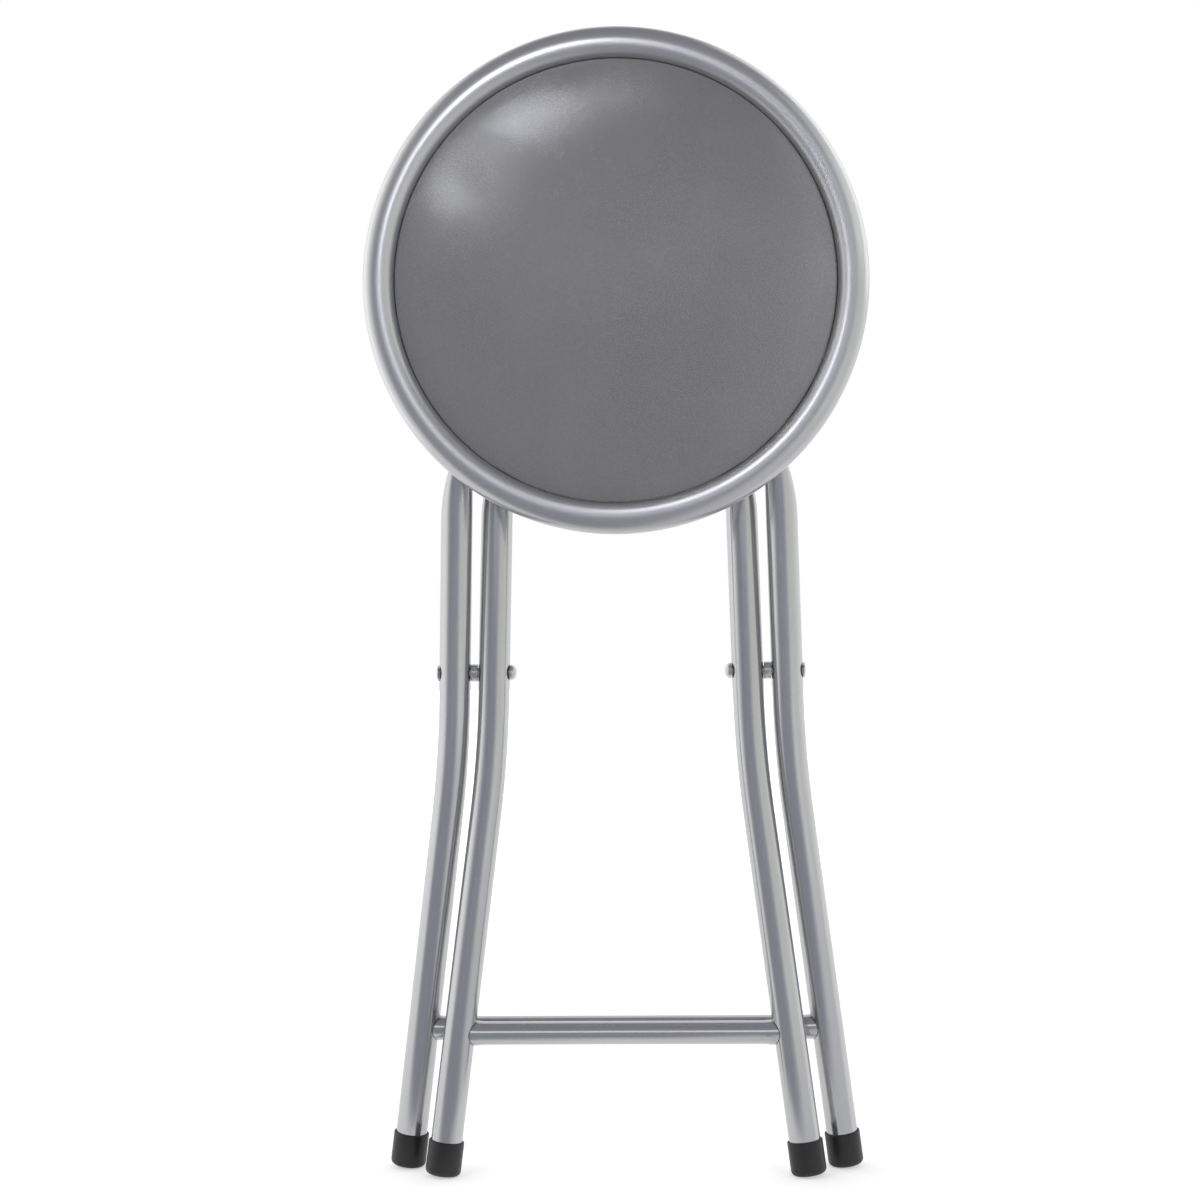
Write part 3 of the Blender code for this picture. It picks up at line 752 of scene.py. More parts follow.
def rivetHead(size, height, direction, face):
    # Head outline from its middle out to its rim. A low head has a punched dimple.
    rim = size["rim"]
    points = []
    for angle in quarter(size["headSteps"]):
        points.append((size["head"] * math.sin(angle), rim + (height - rim) * math.cos(angle)))
    if height < size["dome"]:
        punch = [(size["dimple"] * r, height * h) for r, h in size["punch"]]
        points = punch + [point for point in points if point[0] > size["dimple"]]
    points.append((size["head"], 0))
    return [(r, face + direction * h) for r, h in points]


def addRivet(size, name, ends, heights, place, body, node):
    low = ends[0] - size["gap"]
    high = ends[1] + size["gap"]
    profile = rivetHead(size, heights[0], -1, low)
    profile += [(size["radius"], low), (size["radius"], high)]
    profile += rivetHead(size, heights[1], 1, high)[::-1]
    rivet = makeObject(name, spun(profile, size["around"]), place @ alongX, steel)
    assign(rivet, body, "bright_steel", node)


def addSpacer(size, name, side, place, node):
    start = legSize["innerHalf"] + legSize["radius"] + rivetSize["gap"]
    length = size["length"]
    edge = size["round"]
    bead = arc((size["radius"] - edge, edge), edge, -math.pi / 2, 0, size["roundSteps"])
    profile = bead + [(r, length - z) for r, z in reversed(bead)]
    profile += [(size["bore"], length - size["boreRound"]), (size["bore"], size["boreRound"])]
    local = turnedAt(side * start, 0, side * math.pi / 2)
    bm = spun(profile + profile[:1], size["around"])
    bmesh.ops.remove_doubles(bm, verts=bm.verts, dist=meshSize["samePoint"])
    sleeve = makeObject(name, bm, place @ local, paint)
    assign(sleeve, "pivot", "silver_paint", node)


def addRod(size, inside):
    half = inside + legSize["tongueThickness"] + size["overhang"]
    end = [(0, half), (size["radius"] - size["chamfer"], half)]
    end += [(size["radius"], half - size["chamfer"])]
    profile = [(r, -z) for r, z in end] + end[::-1]
    place = innerPlace @ Matrix.Translation((0, 0, legRise)) @ alongX
    rod = makeObject("catchBar", spun(profile, size["around"]), place, steel)
    assign(rod, "inner_frame", "bright_steel", "catch_rod")


for side, word in sideNames:
    nearFace = legSize["innerHalf"] - legSize["radius"]
    farFace = legSize["outerHalf"] + legSize["radius"]
    ends = sorted((side * nearFace, side * farFace))
    heads = (rivetSize["dome"], rivetSize["low"])[::side]
    addRivet(rivetSize, f"pivotPin_{word}", ends, heads, pivotPlace, "pivot", f"pivot_rivet_{word}")
    addSpacer(spacerSize, f"pivotSleeve_{word}", side, pivotPlace, f"pivot_spacer_{word}")
tongueInside = upperX(legSize, legSize["innerHalf"], legRise) - legSize["radius"]
addRod(rodSize, tongueInside)
print("rivets, sleeves and rod built")


# Seat ring

ringSize = {
    "around": 256,
    "tubeSteps": 56,
    "ventRadius": 0.002,
    "ventReach": (-0.002, 0.006),  # from the tube's underside
    "ventAround": 20,
}


def addRing(size):
    circle = arc((ringRadius, 0), ringTube, 0, math.tau, size["tubeSteps"])[:-1]
    loops = []
    for angle in turns(size["around"]):
        turn = Matrix.Rotation(angle, 3, "Z")
        loops.append([turn @ Vector((r, 0, z)) for r, z in circle])
    ring = makeObject("ringTube", joinLoops(loops, closedRow=True), ringPlace, ringPaint)
    drills = bmesh.new()
    ends = [-ringTube + reach for reach in size["ventReach"]]
    for side in (-1, 1):
        hole = Matrix.Translation((0, side * ringRadius, 0))
        addDrill(drills, size["ventRadius"], ends, size["ventAround"], hole)
    carve(ring, drills)
    assign(ring, "seat", "silver_paint", "seat_ring")


addRing(ringSize)


# Straps, hinge brackets, catches and screws under the seat. Heights are from the ring's middle.

strapSize = {
    "width": 0.024,
    "top": overRing("front_strap")[1],
    "thickness": overRing("front_strap")[1] - overRing("front_strap")[0],
    "gap": 0.0003,
    "endSteps": 10,
    "beadRadius": 0.0014,
    "beadRise": 0.0003,
    "beadShare": 0.42,  # half the bead's length over the strap's width
    "beadSteps": 26,
    "beadAround": 10,
    "beadEnd": 0.35,
    "beadThin": 0.06,
    "ripple": 0.16,
    "rippleTurn": 1.9,
    "lumps": 0.25,
    "lumpScale": 420,
    "lumpSeed": 90,
}
bracketSize = {
    "thickness": 0.002,
    "play": 0.0005,
    "earRadius": 0.008,
    "earSteps": 24,
    "bore": 0.0033,
    "boreAround": 24,
    "drillReach": 0.01,
}
catchSize = {
    "rodPlay": 0.0045,
    "notchSteps": 20,
    "inset": 0.014,
    "thickness": 0.0025,
    "flange": 0.014,
    "mouth": math.radians(60),
    "frontWall": 0.005,
    "rearWall": 0.006,
    "lip": 0.005,
}
screwSize = {
    "head": 0.00425,
    "height": 0.0026,
    "headCurve": (0.8, 0.7),
    "headSteps": 8,
    "shank": 0.002,
    "tip": -0.0006,
    "point": 0.002,
    "slot": 0.0008,
    "slotReach": 0.0023,
    "slotProud": 0.001,
    "slotTaper": (1.15, 0.8),
    "depth": 0.0014,
    "turn": (40, 30),
    "around": 40,
}

ringOverHinge = hingePoint.y - ((ringLow + ringHigh) / 2).y
setback = ((ringLow + ringHigh) / 2).z - hingePoint.z
bracketTop = strapSize["top"] - strapSize["thickness"] - strapSize["gap"]


def strapReach(size, height):
    return ringRadius - math.sqrt(ringTube**2 - height**2) - size["gap"]


def addStrap(size, name, middle, node):
    reach = strapReach(size, size["top"])
    near = math.asin((middle - size["width"] / 2) / reach)
    far = math.asin((middle + size["width"] / 2) / reach)
    right = arc((0, 0), reach, near, far, size["endSteps"])
    outline = right + [(-x, y) for x, y in reversed(right)]
    levels = (size["top"] - size["thickness"], size["top"])
    loops = [[(x, y, z) for x, y in outline] for z in levels]
    strap = makeObject(name, joinLoops(loops), ringPlace, paint)
    softenEdges(strap)
    assign(strap, "seat", "silver_paint", node)


def beadLoops(points, size, seed):
    # A rippled weld bead along a row of points.
    loops = []
    last = len(points) - 1
    up = Vector((0, 0, 1))
    for i, point in enumerate(points):
        along = (points[min(i + 1, last)] - points[max(i - 1, 0)]).normalized()
        across = along.cross(up).normalized()
        angle = math.pi * (i + size["beadEnd"]) / (last + 2 * size["beadEnd"])
        taper = math.sqrt(max(size["beadThin"], math.sin(angle)))
        lump = noise.noise(point * size["lumpScale"] + Vector((seed, 0, 0)))
        ripple = 1 + size["ripple"] * math.sin(i * size["rippleTurn"]) + size["lumps"] * lump
        r = size["beadRadius"] * taper * ripple
        angles = turns(size["beadAround"])
        loops.append([point + (across * math.cos(a) + up * math.sin(a)) * r for a in angles])
    return loops


def addStrapWelds(size, name, middle):
    under = size["top"] - size["thickness"]
    level = under + size["beadRise"]
    # Halfway between the strap's end and the ring.
    reach = (strapReach(size, size["top"]) + strapReach(size, under) + size["gap"]) / 2
    near = math.asin((middle - size["width"] * size["beadShare"]) / reach)
    far = math.asin((middle + size["width"] * size["beadShare"]) / reach)
    path = arc((0, 0), reach, near, far, size["beadSteps"])
    bm = bmesh.new()
    for side in (-1, 1):
        points = [Vector((side * x, y, level)) for x, y in path]
        seed = middle * size["lumpSeed"] + side
        joinLoops(beadLoops(points, size, seed), bm=bm)
    assign(makeObject(name, bm, ringPlace, paint), "seat", "silver_paint")


def addBracket(size, name, side, node):
    inside = upperX(legSize, legSize["outerHalf"], legRise) - legSize["radius"]
    outside = inside + legSize["tongueThickness"]
    slot = sorted((side * (inside - size["play"]), side * (outside + size["play"])))
    top = ringOverHinge + bracketTop
    web = top - size["thickness"]
    half = strapSize["width"] / 2
    ear = arc((0, 0), size["earRadius"], math.pi, math.tau, size["earSteps"])
    outline = [(-half, top), (-half, web)] + ear + [(half, web), (half, top)]
    low = slot[0] - size["thickness"]
    high = slot[1] + size["thickness"]
    bracket = makeObject(name, extruded(outline, (low, high)), seatPlace, steel)
    channel = blockCutter(slot, web)
    reach = (low - size["drillReach"], high + size["drillReach"])
    addDrill(channel, size["bore"], reach, size["boreAround"], alongX)
    carve(bracket, channel)
    softenEdges(bracket)
    assign(bracket, "seat", "bright_steel", node)
    return low, high


def addCatch(size, name, side, node):
    radius = size["rodPlay"]
    mouth = Vector((-math.cos(size["mouth"]), -math.sin(size["mouth"])))
    forward = Vector((mouth.y, -mouth.x))
    half = strapSize["width"] / 2
    top = ringOverHinge + bracketTop
    start = math.atan2(forward.y, forward.x)
    seatArc = arc((0, 0), radius, start, start - math.pi, size["notchSteps"])
    frontEnd = forward * radius + mouth * size["frontWall"]
    rearEnd = -forward * radius + mouth * size["rearWall"]
    lipEnd = rearEnd - forward * size["lip"]
    outline = [(-half, top), (-half, 0), tuple(frontEnd)] + seatArc
    outline += [tuple(rearEnd), tuple(lipEnd), (half, 0), (half, top)]
    face = tongueInside - size["inset"]
    edges = sorted((side * face, side * (face - size["flange"])))
    place = seatPlace @ Matrix.Translation((0, 2 * setback, 0))
    catch = makeObject(name, extruded(outline, edges), place, steel)
    waste = sorted((side * (face - size["thickness"]), side * (face - 2 * size["flange"])))
    carve(catch, blockCutter(waste, top - size["thickness"]))
    softenEdges(catch)
    assign(catch, "seat", "bright_steel", node)
    return face


def addScrew(size, name, x, y, under, node):
    bottom = under - size["height"]
    wide, deep = size["headCurve"]
    profile = [(0, bottom)]
    for angle in quarter(size["headSteps"])[1:]:
        radius = size["head"] * math.sin(angle) ** wide
        profile.append((radius, under - size["height"] * math.cos(angle) ** deep))
    profile += [(size["shank"], under), (size["shank"], size["tip"] - size["point"])]
    profile += [(0, size["tip"])]
    place = ringPlace @ Matrix.Translation((x, y, 0))
    screw = makeObject(name, spun(profile, size["around"]), place, steel)
    arm = size["slotReach"]
    thin = size["slot"] / 2
    cross = [(arm, -thin), (arm, thin), (thin, thin), (thin, arm), (-thin, arm), (-thin, thin)]
    cross += [(-u, -v) for u, v in cross]
    turn = Matrix.Rotation(x * size["turn"][0] + y * size["turn"][1], 3, "Z")
    levels = (bottom - size["slotProud"], bottom + size["depth"])
    loops = []
    for z, scale in zip(levels, size["slotTaper"]):
        loops.append([turn @ Vector((u * scale, v * scale, z)) for u, v in cross])
    carve(screw, joinLoops(loops))
    assign(screw, "seat", "bright_steel", node)


for word, middle in (("front", -setback), ("rear", setback)):
    addStrap(strapSize, f"{word}Tie", middle, f"{word}_strap")
    addStrapWelds(strapSize, f"{word}TieWelds", middle)
lowHeads = (rivetSize["low"], rivetSize["low"])
flangeUnder = bracketTop - catchSize["thickness"] - strapSize["gap"]
screwRows = (("front", -setback, bracketTop), ("rear", setback, flangeUnder))
for side, word in sideNames:
    ends = addBracket(bracketSize, f"hingeClevis_{word}", side, f"hinge_bracket_{word}")
    pin = f"hingePin_{word}"
    addRivet(rivetSize, pin, ends, lowHeads, seatPlace, "seat", f"hinge_rivet_{word}")
    face = addCatch(catchSize, f"notchPlate_{word}", side, f"rod_catch_{word}")
    screwX = side * (face - (catchSize["thickness"] + catchSize["flange"]) / 2)
    for row, y, under in screwRows:
        addScrew(screwSize, f"{row}Screw_{word}", screwX, y, under, f"board_screw_{row}_{word}")
nodes["seat_board"].data.materials.clear()
nodes["seat_board"].data.materials.append(fibre)
print("ring, straps, brackets and catches built")


# Seat pad: a vinyl cover over foam, pulled round the board and stapled under it

padSize = {
    "edgeRadius": 0.1307,
    "bulge": 0.0003,
    "bulgeHeight": 0.0025,
    "crown": overRing("seat_cover")[1] - 0.0008,
    "roundness": 2.6,
    "shoulder": 0.9,
    "sideHeight": 0.0002,
    "sideShares": (0.7, 0.6),  # of the bulge and its height, just under the rim
    "hemUnder": overRing("seat_cover")[0],
    "tuck": 0.0004,
    "tuckHeight": -0.0014,
    "tuckShare": 0.6,
    "hemCorner": 0.0016,
    "cornerSteps": 4,
    "hemInner": 0.1154,
    "hemSpacing": 0.004,
    "pleatCount": 58,
    "pleatDrift": 2,
    "driftCount": 7,
    "pleatDepth": 0.00012,
    "pleatReach": 0.008,
    "cutWander": 0.0008,
    "cutScale": 5,
    "cutSeed": 3,
    "thickness": 0.001,
    "gridSteps": 64,
    "gridEase": 1.4,
    "frames": 20,
    "limit": 0.003,
    "pullFrom": 0.3,
    "pullMargin": 0.0002,
    # Angle, width in degrees, place and spread as shares of the rim, depth.
    "pulls": (
        (139, 9, 0.80, 0.17, 0.0009),
        (101, 5, 0.97, 0.06, 0.0004),
        (60, 11, 0.92, 0.09, 0.0003),
        (205, 9, 0.92, 0.08, 0.0003),
        (286, 12, 0.93, 0.08, 0.0003),
        (342, 10, 0.92, 0.08, 0.0003),
    ),
}
padCloth = {
    "quality": 6,
    "mass": 0.3,
    "tension_stiffness": 12,
    "compression_stiffness": 12,
    "shear_stiffness": 4,
    "bending_stiffness": 0.4,
    "use_pressure": True,
    "uniform_pressure_force": 4.0,
    "vertex_group_mass": "held",
}


def padSheet(size):
    # A square grid pressed into a disc is the top, and rings round its rim are the side and hem.
    count = size["gridSteps"]
    edge = size["edgeRadius"]
    rim = edge + size["bulge"]
    rise = size["crown"] - size["bulgeHeight"]
    bm = bmesh.new()
    grid = {}
    for i in range(count + 1):
        for j in range(count + 1):
            u = 2 * i / count - 1
            v = 2 * j / count - 1
            flat = Vector((u * math.sqrt(1 - v * v / 2), v * math.sqrt(1 - u * u / 2)))
            reach = min(flat.length, 1.0)
            spread = 1 - (1 - reach) ** size["gridEase"]
            if reach > meshSize["samePoint"]:
                flat = flat / reach * spread
            dome = max(0.0, 1 - spread ** size["roundness"]) ** size["shoulder"]
            height = size["bulgeHeight"] + rise * dome
            grid[i, j] = bm.verts.new((flat.x * rim, flat.y * rim, height))
    for i in range(count):
        for j in range(count):
            bm.faces.new((grid[i, j], grid[i + 1, j], grid[i + 1, j + 1], grid[i, j + 1]))
    border = [grid[i, 0] for i in range(count)] + [grid[count, j] for j in range(count)]
    border += [grid[i, count] for i in range(count, 0, -1)]
    border += [grid[0, j] for j in range(count, 0, -1)]
    held = list(border)
    corner = size["hemCorner"]
    lowEdge = edge + size["tuck"]  # swells out again behind the ring's narrowest circle
    out, down = size["sideShares"]
    profile = [(edge + size["bulge"] * out, size["bulgeHeight"] * down)]
    profile += [(edge, size["sideHeight"])]
    profile += [(edge + size["tuck"] * size["tuckShare"], size["tuckHeight"])]
    middle = (lowEdge - corner, size["hemUnder"] + corner)
    profile += arc(middle, corner, 0, -math.pi / 2, size["cornerSteps"])
    hem = spaced(lowEdge - corner, size["hemInner"], size["hemSpacing"])
    profile += [(r, size["hemUnder"]) for r in hem[1:]]
    row = border
    for radius, height in profile:
        ring = []
        under = max(0.0, min(1.0, (edge - corner - radius) / size["pleatReach"]))
        for vert in border:
            angle = math.atan2(vert.co.y, vert.co.x)
            x = math.cos(angle)
            y = math.sin(angle)
            drift = size["pleatDrift"] * math.sin(angle * size["driftCount"])
            wave = math.sin(angle * size["pleatCount"] + drift)
            pleat = size["pleatDepth"] * wave * under
            wander = noise.noise(Vector((x, y, size["cutSeed"])) * size["cutScale"])
            cut = radius + size["cutWander"] * wander * under
            ring.append(bm.verts.new((cut * x, cut * y, height + pleat)))
        for i in range(len(row)):
            j = (i + 1) % len(row)
            bm.faces.new((row[i], row[j], ring[j], ring[i]))
        row = ring
        held += ring
    bm.verts.index_update()
    return bm, [vert.index for vert in held]


def inflate(pad, held, size, stiffness):
    group = pad.vertex_groups.new(name="held")
    group.add(held, 1.0, "REPLACE")
    start = [vert.co.copy() for vert in pad.data.vertices]
    cloth = pad.modifiers.new("cloth", "CLOTH")
    for key, value in stiffness.items():
        setattr(cloth.settings, key, value)
    cloth.settings.effector_weights.gravity = 0
    cloth.collision_settings.use_collision = False
    scene = bpy.context.scene
    scene.frame_start = 1
    scene.frame_end = size["frames"]
    for step in range(1, size["frames"] + 1):
        scene.frame_set(step)
    applyModifiers(pad)
    scene.frame_set(1)
    moved = 0.0
    for vert, before in zip(pad.data.vertices, start):
        move = vert.co - before
        moved = max(moved, move.length)
        if move.length > size["limit"]:
            vert.co = before + move.normalized() * size["limit"]
    print("pad swelled by up to", round(moved * 1000, 2), "mm")


def pullIn(pad, size):
    # Shallow pulls that run in from the rim, where the cover is drawn tight under the board.
    rim = size["edgeRadius"]
    for vert in pad.data.vertices:
        reach = math.hypot(vert.co.x, vert.co.y) / rim
        if vert.co.z < size["bulgeHeight"] - size["pullMargin"] or reach < size["pullFrom"]:
            continue
        angle = math.degrees(math.atan2(vert.co.y, vert.co.x)) % 360
        for middle, width, inner, spread, depth in size["pulls"]:
            turn = (angle - middle + 180) % 360 - 180
            vert.co.z -= depth * math.exp(-((turn / width) ** 2) - ((reach - inner) / spread) ** 2)


def addPad(size):
    bm, held = padSheet(size)
    pad = makeObject("padCover", bm, ringPlace, vinyl, math.pi)
    inflate(pad, held, size, padCloth)
    pullIn(pad, size)
    smooth = pad.modifiers.new("smooth", "SUBSURF")
    smooth.levels = 1
    smooth.render_levels = 1
    shell = pad.modifiers.new("shell", "SOLIDIFY")
    shell.thickness = size["thickness"]
    shell.offset = -1
    assign(pad, "seat", "grey_vinyl", "seat_cover", "seat_foam")


addPad(padSize)
print("pad built")


# Staples that hold the hem

stapleSize = {
    "count": 28,
    "radius": 0.1205,
    "crown": 0.0095,
    "wire": 0.00045,
    "wireWidth": 1.3,
    "wireAround": 8,
    "sunk": 0.7,
    "clear": math.radians(9),
    # How much each is off and how fast that changes: along the hem, across it and in turn.
    "strays": ((0.03, 2.3), (0.0009, 3.7), (0.12, 5.1)),
    # Half of the bent wire: share of the half crown, and rise into the hem.
    "bend": ((0.85, 0), (0.94, -0.0001), (1, 0.0004), (1, 0.0012)),
}


def addStaples(size):
    strapAngle = math.asin(setback / strapReach(strapSize, strapSize["top"]))
    blocked = [strapAngle, math.pi - strapAngle, math.pi + strapAngle, math.tau - strapAngle]
    half = size["crown"] / 2
    wire = size["wire"]
    under = padSize["hemUnder"] - wire * size["sunk"]
    path = [(half * share, rise) for share, rise in size["bend"]]
    path = [(-along, rise) for along, rise in reversed(path)] + path
    bm = bmesh.new()
    for index in range(size["count"]):
        # Each one a little out of place and askew.
        late, out, askew = [much * math.sin(index * pace) for much, pace in size["strays"]]
        angle = math.tau * (index + 0.5) / size["count"] + late
        if min(abs(angle - stop) for stop in blocked) < size["clear"]:
            continue
        shift = (size["radius"] + out, 0, 0)
        turn = Matrix.Rotation(angle, 4, "Z") @ Matrix.Translation(shift)
        turn = turn @ Matrix.Rotation(askew, 4, "Z")
        loops = []
        for along, rise in path:
            loop = []
            for a in turns(size["wireAround"]):
                x = wire * size["wireWidth"] * math.cos(a)
                loop.append(turn @ Vector((x, along, under + rise + wire * math.sin(a))))
            loops.append(loop)
        joinLoops(loops, bm=bm)
    assign(makeObject("hemStaples", bm, ringPlace, steel), "seat", "bright_steel")


addStaples(stapleSize)
print("staples built")


# Floor, world and lamps

stageLook = {
    "floorSize": 12.0,
    "floorColor": (0.86, 0.86, 0.86),
    "floorGlow": 0.42,
    "farGlow": 0.45,
    "farFrom": 0.9,
    "farFull": 3.0,
    "fillColor": (1.0, 0.99, 0.97),
    "mirrorColor": (0.95, 0.965, 1.0),
}


def flatSheet(left, front, right, back):
    bm = bmesh.new()
    corners = ((left, front), (right, front), (right, back), (left, back))
    bm.faces.new([bm.verts.new((x, y, 0)) for x, y in corners])
    return bm


def addFloor(look):
    # Plain white floor. A glow lifts it to white for the eye and for mirror-like surfaces, and
    # leaves the shadow.
    material, tree = bareMaterial("whiteFloor")
    diffuse = addNode(tree, "BsdfDiffuse", {"Color": (*look["floorColor"], 1.0)})
    path = addNode(tree, "LightPath").outputs
    seen = addMath(tree, "MAXIMUM", path["Is Camera Ray"], path["Is Glossy Ray"])
    seen = addMath(tree, "MAXIMUM", seen, path["Is Transmission Ray"])
    lift = addMath(tree, "MULTIPLY", seen, look["floorGlow"])
    distance = addVector(tree, "LENGTH", objectSpace(tree), output="Value")
    far = addRange(tree, distance, look["farFrom"], look["farFull"], 0.0, look["farGlow"])
    lift = addMath(tree, "ADD", lift, addMath(tree, "MULTIPLY", far, path["Is Camera Ray"]))
    glow = addNode(tree, "Emission", {"Strength": lift})
    both = addNode(tree, "AddShader", {0: diffuse.outputs[0], 1: glow.outputs[0]})
    addNode(tree, "OutputMaterial", {"Surface": both.outputs[0]})
    half = look["floorSize"] / 2
    bm = flatSheet(-half, -half, half, half)
    makeObject("floor", bm, Matrix.Identity(4), material)


def addWorld():
    world = bpy.data.worlds.new("studio")
    bpy.context.scene.world = world
    world.use_nodes = True
    world.node_tree.nodes["Background"].inputs["Color"].default_value = (1.0, 1.0, 1.0, 1.0)


# A light tent round the stool, open to a dim room in front. Azimuth stops run from behind the
# stool on the left (0), past the camera (0.5), to behind it on the right (1).
tentLook = {
    "radius": 4.0,
    "around": 48,
    "rows": 18,
    "skirt": -0.09,
    "rise": 0.35,
    "stops": (
        (0.000, (1.0, 1.0, 1.0)),
        (0.065, (1.0, 1.0, 1.0)),
        (0.125, (1.20, 1.20, 1.20)),
        (0.200, (1.40, 1.40, 1.40)),
        (0.265, (1.42, 1.42, 1.42)),
        (0.305, (1.15, 1.15, 1.16)),
        (0.347, (0.56, 0.56, 0.59)),
        (0.390, (0.29, 0.30, 0.35)),
        (0.525, (0.28, 0.29, 0.34)),
        (0.560, (0.54, 0.55, 0.57)),
        (0.590, (0.80, 0.82, 0.78)),
        (0.700, (0.90, 0.92, 0.86)),
        (0.765, (1.05, 1.06, 1.01)),
        (0.850, (1.20, 1.20, 1.18)),
        (0.935, (1.0, 1.0, 1.0)),
        (1.000, (1.0, 1.0, 1.0)),
    ),
    "zenith": (0.28, 0.28, 0.32),
    "dimPole": (0.06, -0.30, 0.952),
    "dimFrom": 0.574,
    "dimFull": 0.766,
    "cardColor": (0.33, 0.34, 0.39),
    "cardNear": 0.03,
    "cardFull": 0.14,
    "cardReach": 3.0,
    "cardRise": 0.0004,
    "cardStops": ((0.30, 0.0), (0.35, 1.0), (0.525, 1.0), (0.60, 0.4), (0.72, 0.4), (0.80, 0.0)),
}


def azimuthShare(tree, place):
    parts = addNode(tree, "SeparateXYZ", {0: place}).outputs
    azimuth = addMath(tree, "ARCTAN2", parts[0], addMath(tree, "MULTIPLY", parts[1], -1.0))
    return addRange(tree, azimuth, -math.pi, math.pi)


def addRamp(tree, share, stops):
    ramp = addNode(tree, "ValToRGB", {"Fac": share})
    elements = ramp.color_ramp.elements
    while len(elements) < len(stops):
        elements.new(0.5)
    for element, (position, color) in zip(elements, stops):
        element.position = position
        element.color = (*color, 1.0)
    return ramp.outputs[0]


def addTent(look):
    # Lights the stool and shows in its tubes, but not to the camera.
    material, tree = bareMaterial("tentCloth")
    where = objectSpace(tree)
    ramp = addRamp(tree, azimuthShare(tree, where), look["stops"])
    direction = addVector(tree, "NORMALIZE", where)
    pole = addVector(tree, "DOT_PRODUCT", direction, look["dimPole"], "Value")
    high = addRange(tree, pole, look["dimFrom"], look["dimFull"])
    color = addMix(tree, high, ramp, look["zenith"])
    glow = addNode(tree, "Emission", {"Color": color}).outputs[0]
    addNode(tree, "OutputMaterial", {"Surface": glow})
    profile = arc((0, 0), look["radius"], look["skirt"], math.pi / 2, look["rows"])
    place = Matrix.Translation((0, 0, look["rise"]))
    tent = makeObject("tent", spun(profile, look["around"]), place, material)
    tent.visible_camera = False


def addFloorCard(look):
    # Where the white floor ends in front of the stool. Only the tubes show it.
    material, tree = bareMaterial("dimFloor")
    where = objectSpace(tree)
    stops = [(stop, (cover,) * 3) for stop, cover in look["cardStops"]]
    sides = addRamp(tree, azimuthShare(tree, where), stops)
    distance = addVector(tree, "LENGTH", where, output="Value")
    cover = addRange(tree, distance, look["cardNear"], look["cardFull"])
    cover = addMath(tree, "MULTIPLY", cover, sides)
    glow = addNode(tree, "Emission", {"Color": (*look["cardColor"], 1.0)}).outputs[0]
    clear = addNode(tree, "BsdfTransparent").outputs[0]
    both = addNode(tree, "MixShader", {0: cover, 1: clear, 2: glow}).outputs[0]
    addNode(tree, "OutputMaterial", {"Surface": both})
    half = look["cardReach"]
    place = Matrix.Translation((0, 0, look["cardRise"]))
    card = makeObject("floorCard", flatSheet(-half, -half, half, 0), place, material)
    card.visible_camera = False
    card.visible_diffuse = False
    card.visible_shadow = False


# Mirrored lamps only show in glossy surfaces, and the broad fills light the rest. A lamp with a
# list of pieces is shaded off from everything else.
onPad = ("padCover",)
onRing = ("ringTube",)
onBars = ("outerBar", "innerBar")
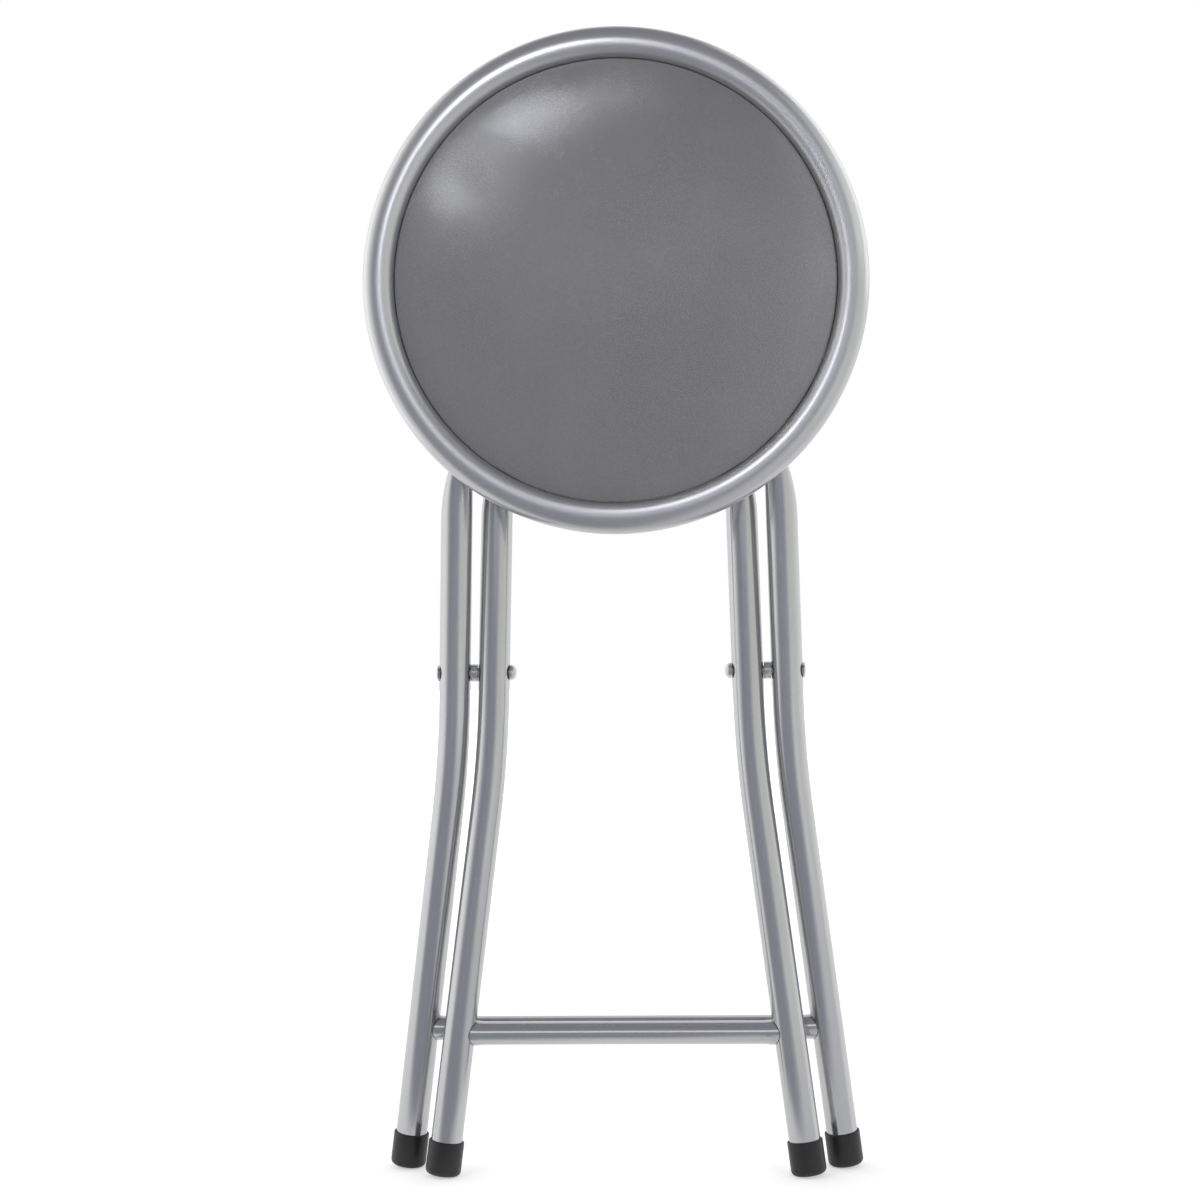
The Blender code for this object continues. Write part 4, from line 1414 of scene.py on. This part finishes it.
# Place, aim, size, roll, power and pieces.
lampSize = {
    "padHigh": ((-0.140, -0.29, 0.815), (-0.05, 0, 0.63), (0.107, 0.018), 20, 0.31, onPad),
    "padTop": ((-0.030, -0.29, 0.851), (0.0, 0, 0.65), (0.130, 0.020), 18, 0.08, onPad),
    "padLeft": ((-0.262, -0.29, 0.733), (-0.10, 0, 0.59), (0.060, 0.030), -38, 0.17, onPad),
    "padInner": ((-0.190, -0.29, 0.682), (-0.08, 0, 0.59), (0.080, 0.035), -38, 0.045, onPad),
    "padRight": ((0.345, -0.29, 0.70), (0.12, 0, 0.58), (0.06, 0.40), 0, 0.11, onPad),
    "ringCore": ((-0.070, -0.29, 0.668), (0.10, -0.10, 0.44), (0.10, 0.20), 20, 0.28, onRing),
    "ringWide": ((-0.060, -0.31, 0.60), (-0.02, 0, 0.55), (0.26, 0.26), 0, 0.015, onRing),
    "ringRight": ((0.311, 0.12, 0.753), (0.0, 0.12, 0.535), (0.24, 0.52), 0, 0.29, onRing),
    "ringFlank": ((0.28, -0.105, 0.70), (0.13, 0, 0.61), (0.15, 0.25), 0, 0.055, onRing),
    "ringLeft": ((-0.38, 0.12, 0.555), (0.0, 0.12, 0.535), (0.24, 0.58), 0, 0.24, onRing),
    "barBox": ((0.0, -2.50, 1.05), (0, 0, 0.10), (1.60, 0.60), 0, 1.4, onBars),
    "softBox": ((0.0, -2.50, 1.05), (0, 0, 0.50), (1.60, 0.70), 0, 2.5, ()),
    "fillRight": ((1.45, -1.75, 0.50), (0, 0, 0.40), (1.20, 1.20), 0, 19.0, ()),
    "fillLeft": ((-1.45, -1.75, 1.10), (0, 0, 0.40), (1.20, 1.20), 0, 12.5, ()),
}


def addLamp(name, look, place, aim, size, roll, power, pieces):
    data = bpy.data.lights.new(name, "AREA")
    data.shape = "RECTANGLE"
    data.size, data.size_y = size
    data.energy = power
    mirrored = not name.startswith("fill")
    data.color = look["mirrorColor"] if mirrored else look["fillColor"]
    light = bpy.data.objects.new(name, data)
    bpy.context.collection.objects.link(light)
    turn = (Vector(aim) - Vector(place)).to_track_quat("-Z", "Y").to_matrix().to_4x4()
    turn = turn @ Matrix.Rotation(math.radians(roll), 4, "Z")
    light.matrix_world = Matrix.Translation(place) @ turn
    light.visible_glossy = mirrored
    light.visible_diffuse = not mirrored
    light.visible_camera = False
    if pieces:
        lit = bpy.data.collections.new(name + "Lit")
        for piece in pieces:
            lit.objects.link(bpy.data.objects[piece])
        light.light_linking.receiver_collection = lit


addFloor(stageLook)
addWorld()
addTent(tentLook)
addFloorCard(tentLook)
for name, lamp in lampSize.items():
    addLamp(name, stageLook, *lamp)
bpy.context.scene.view_settings.view_transform = "Standard"
print("stage ready")
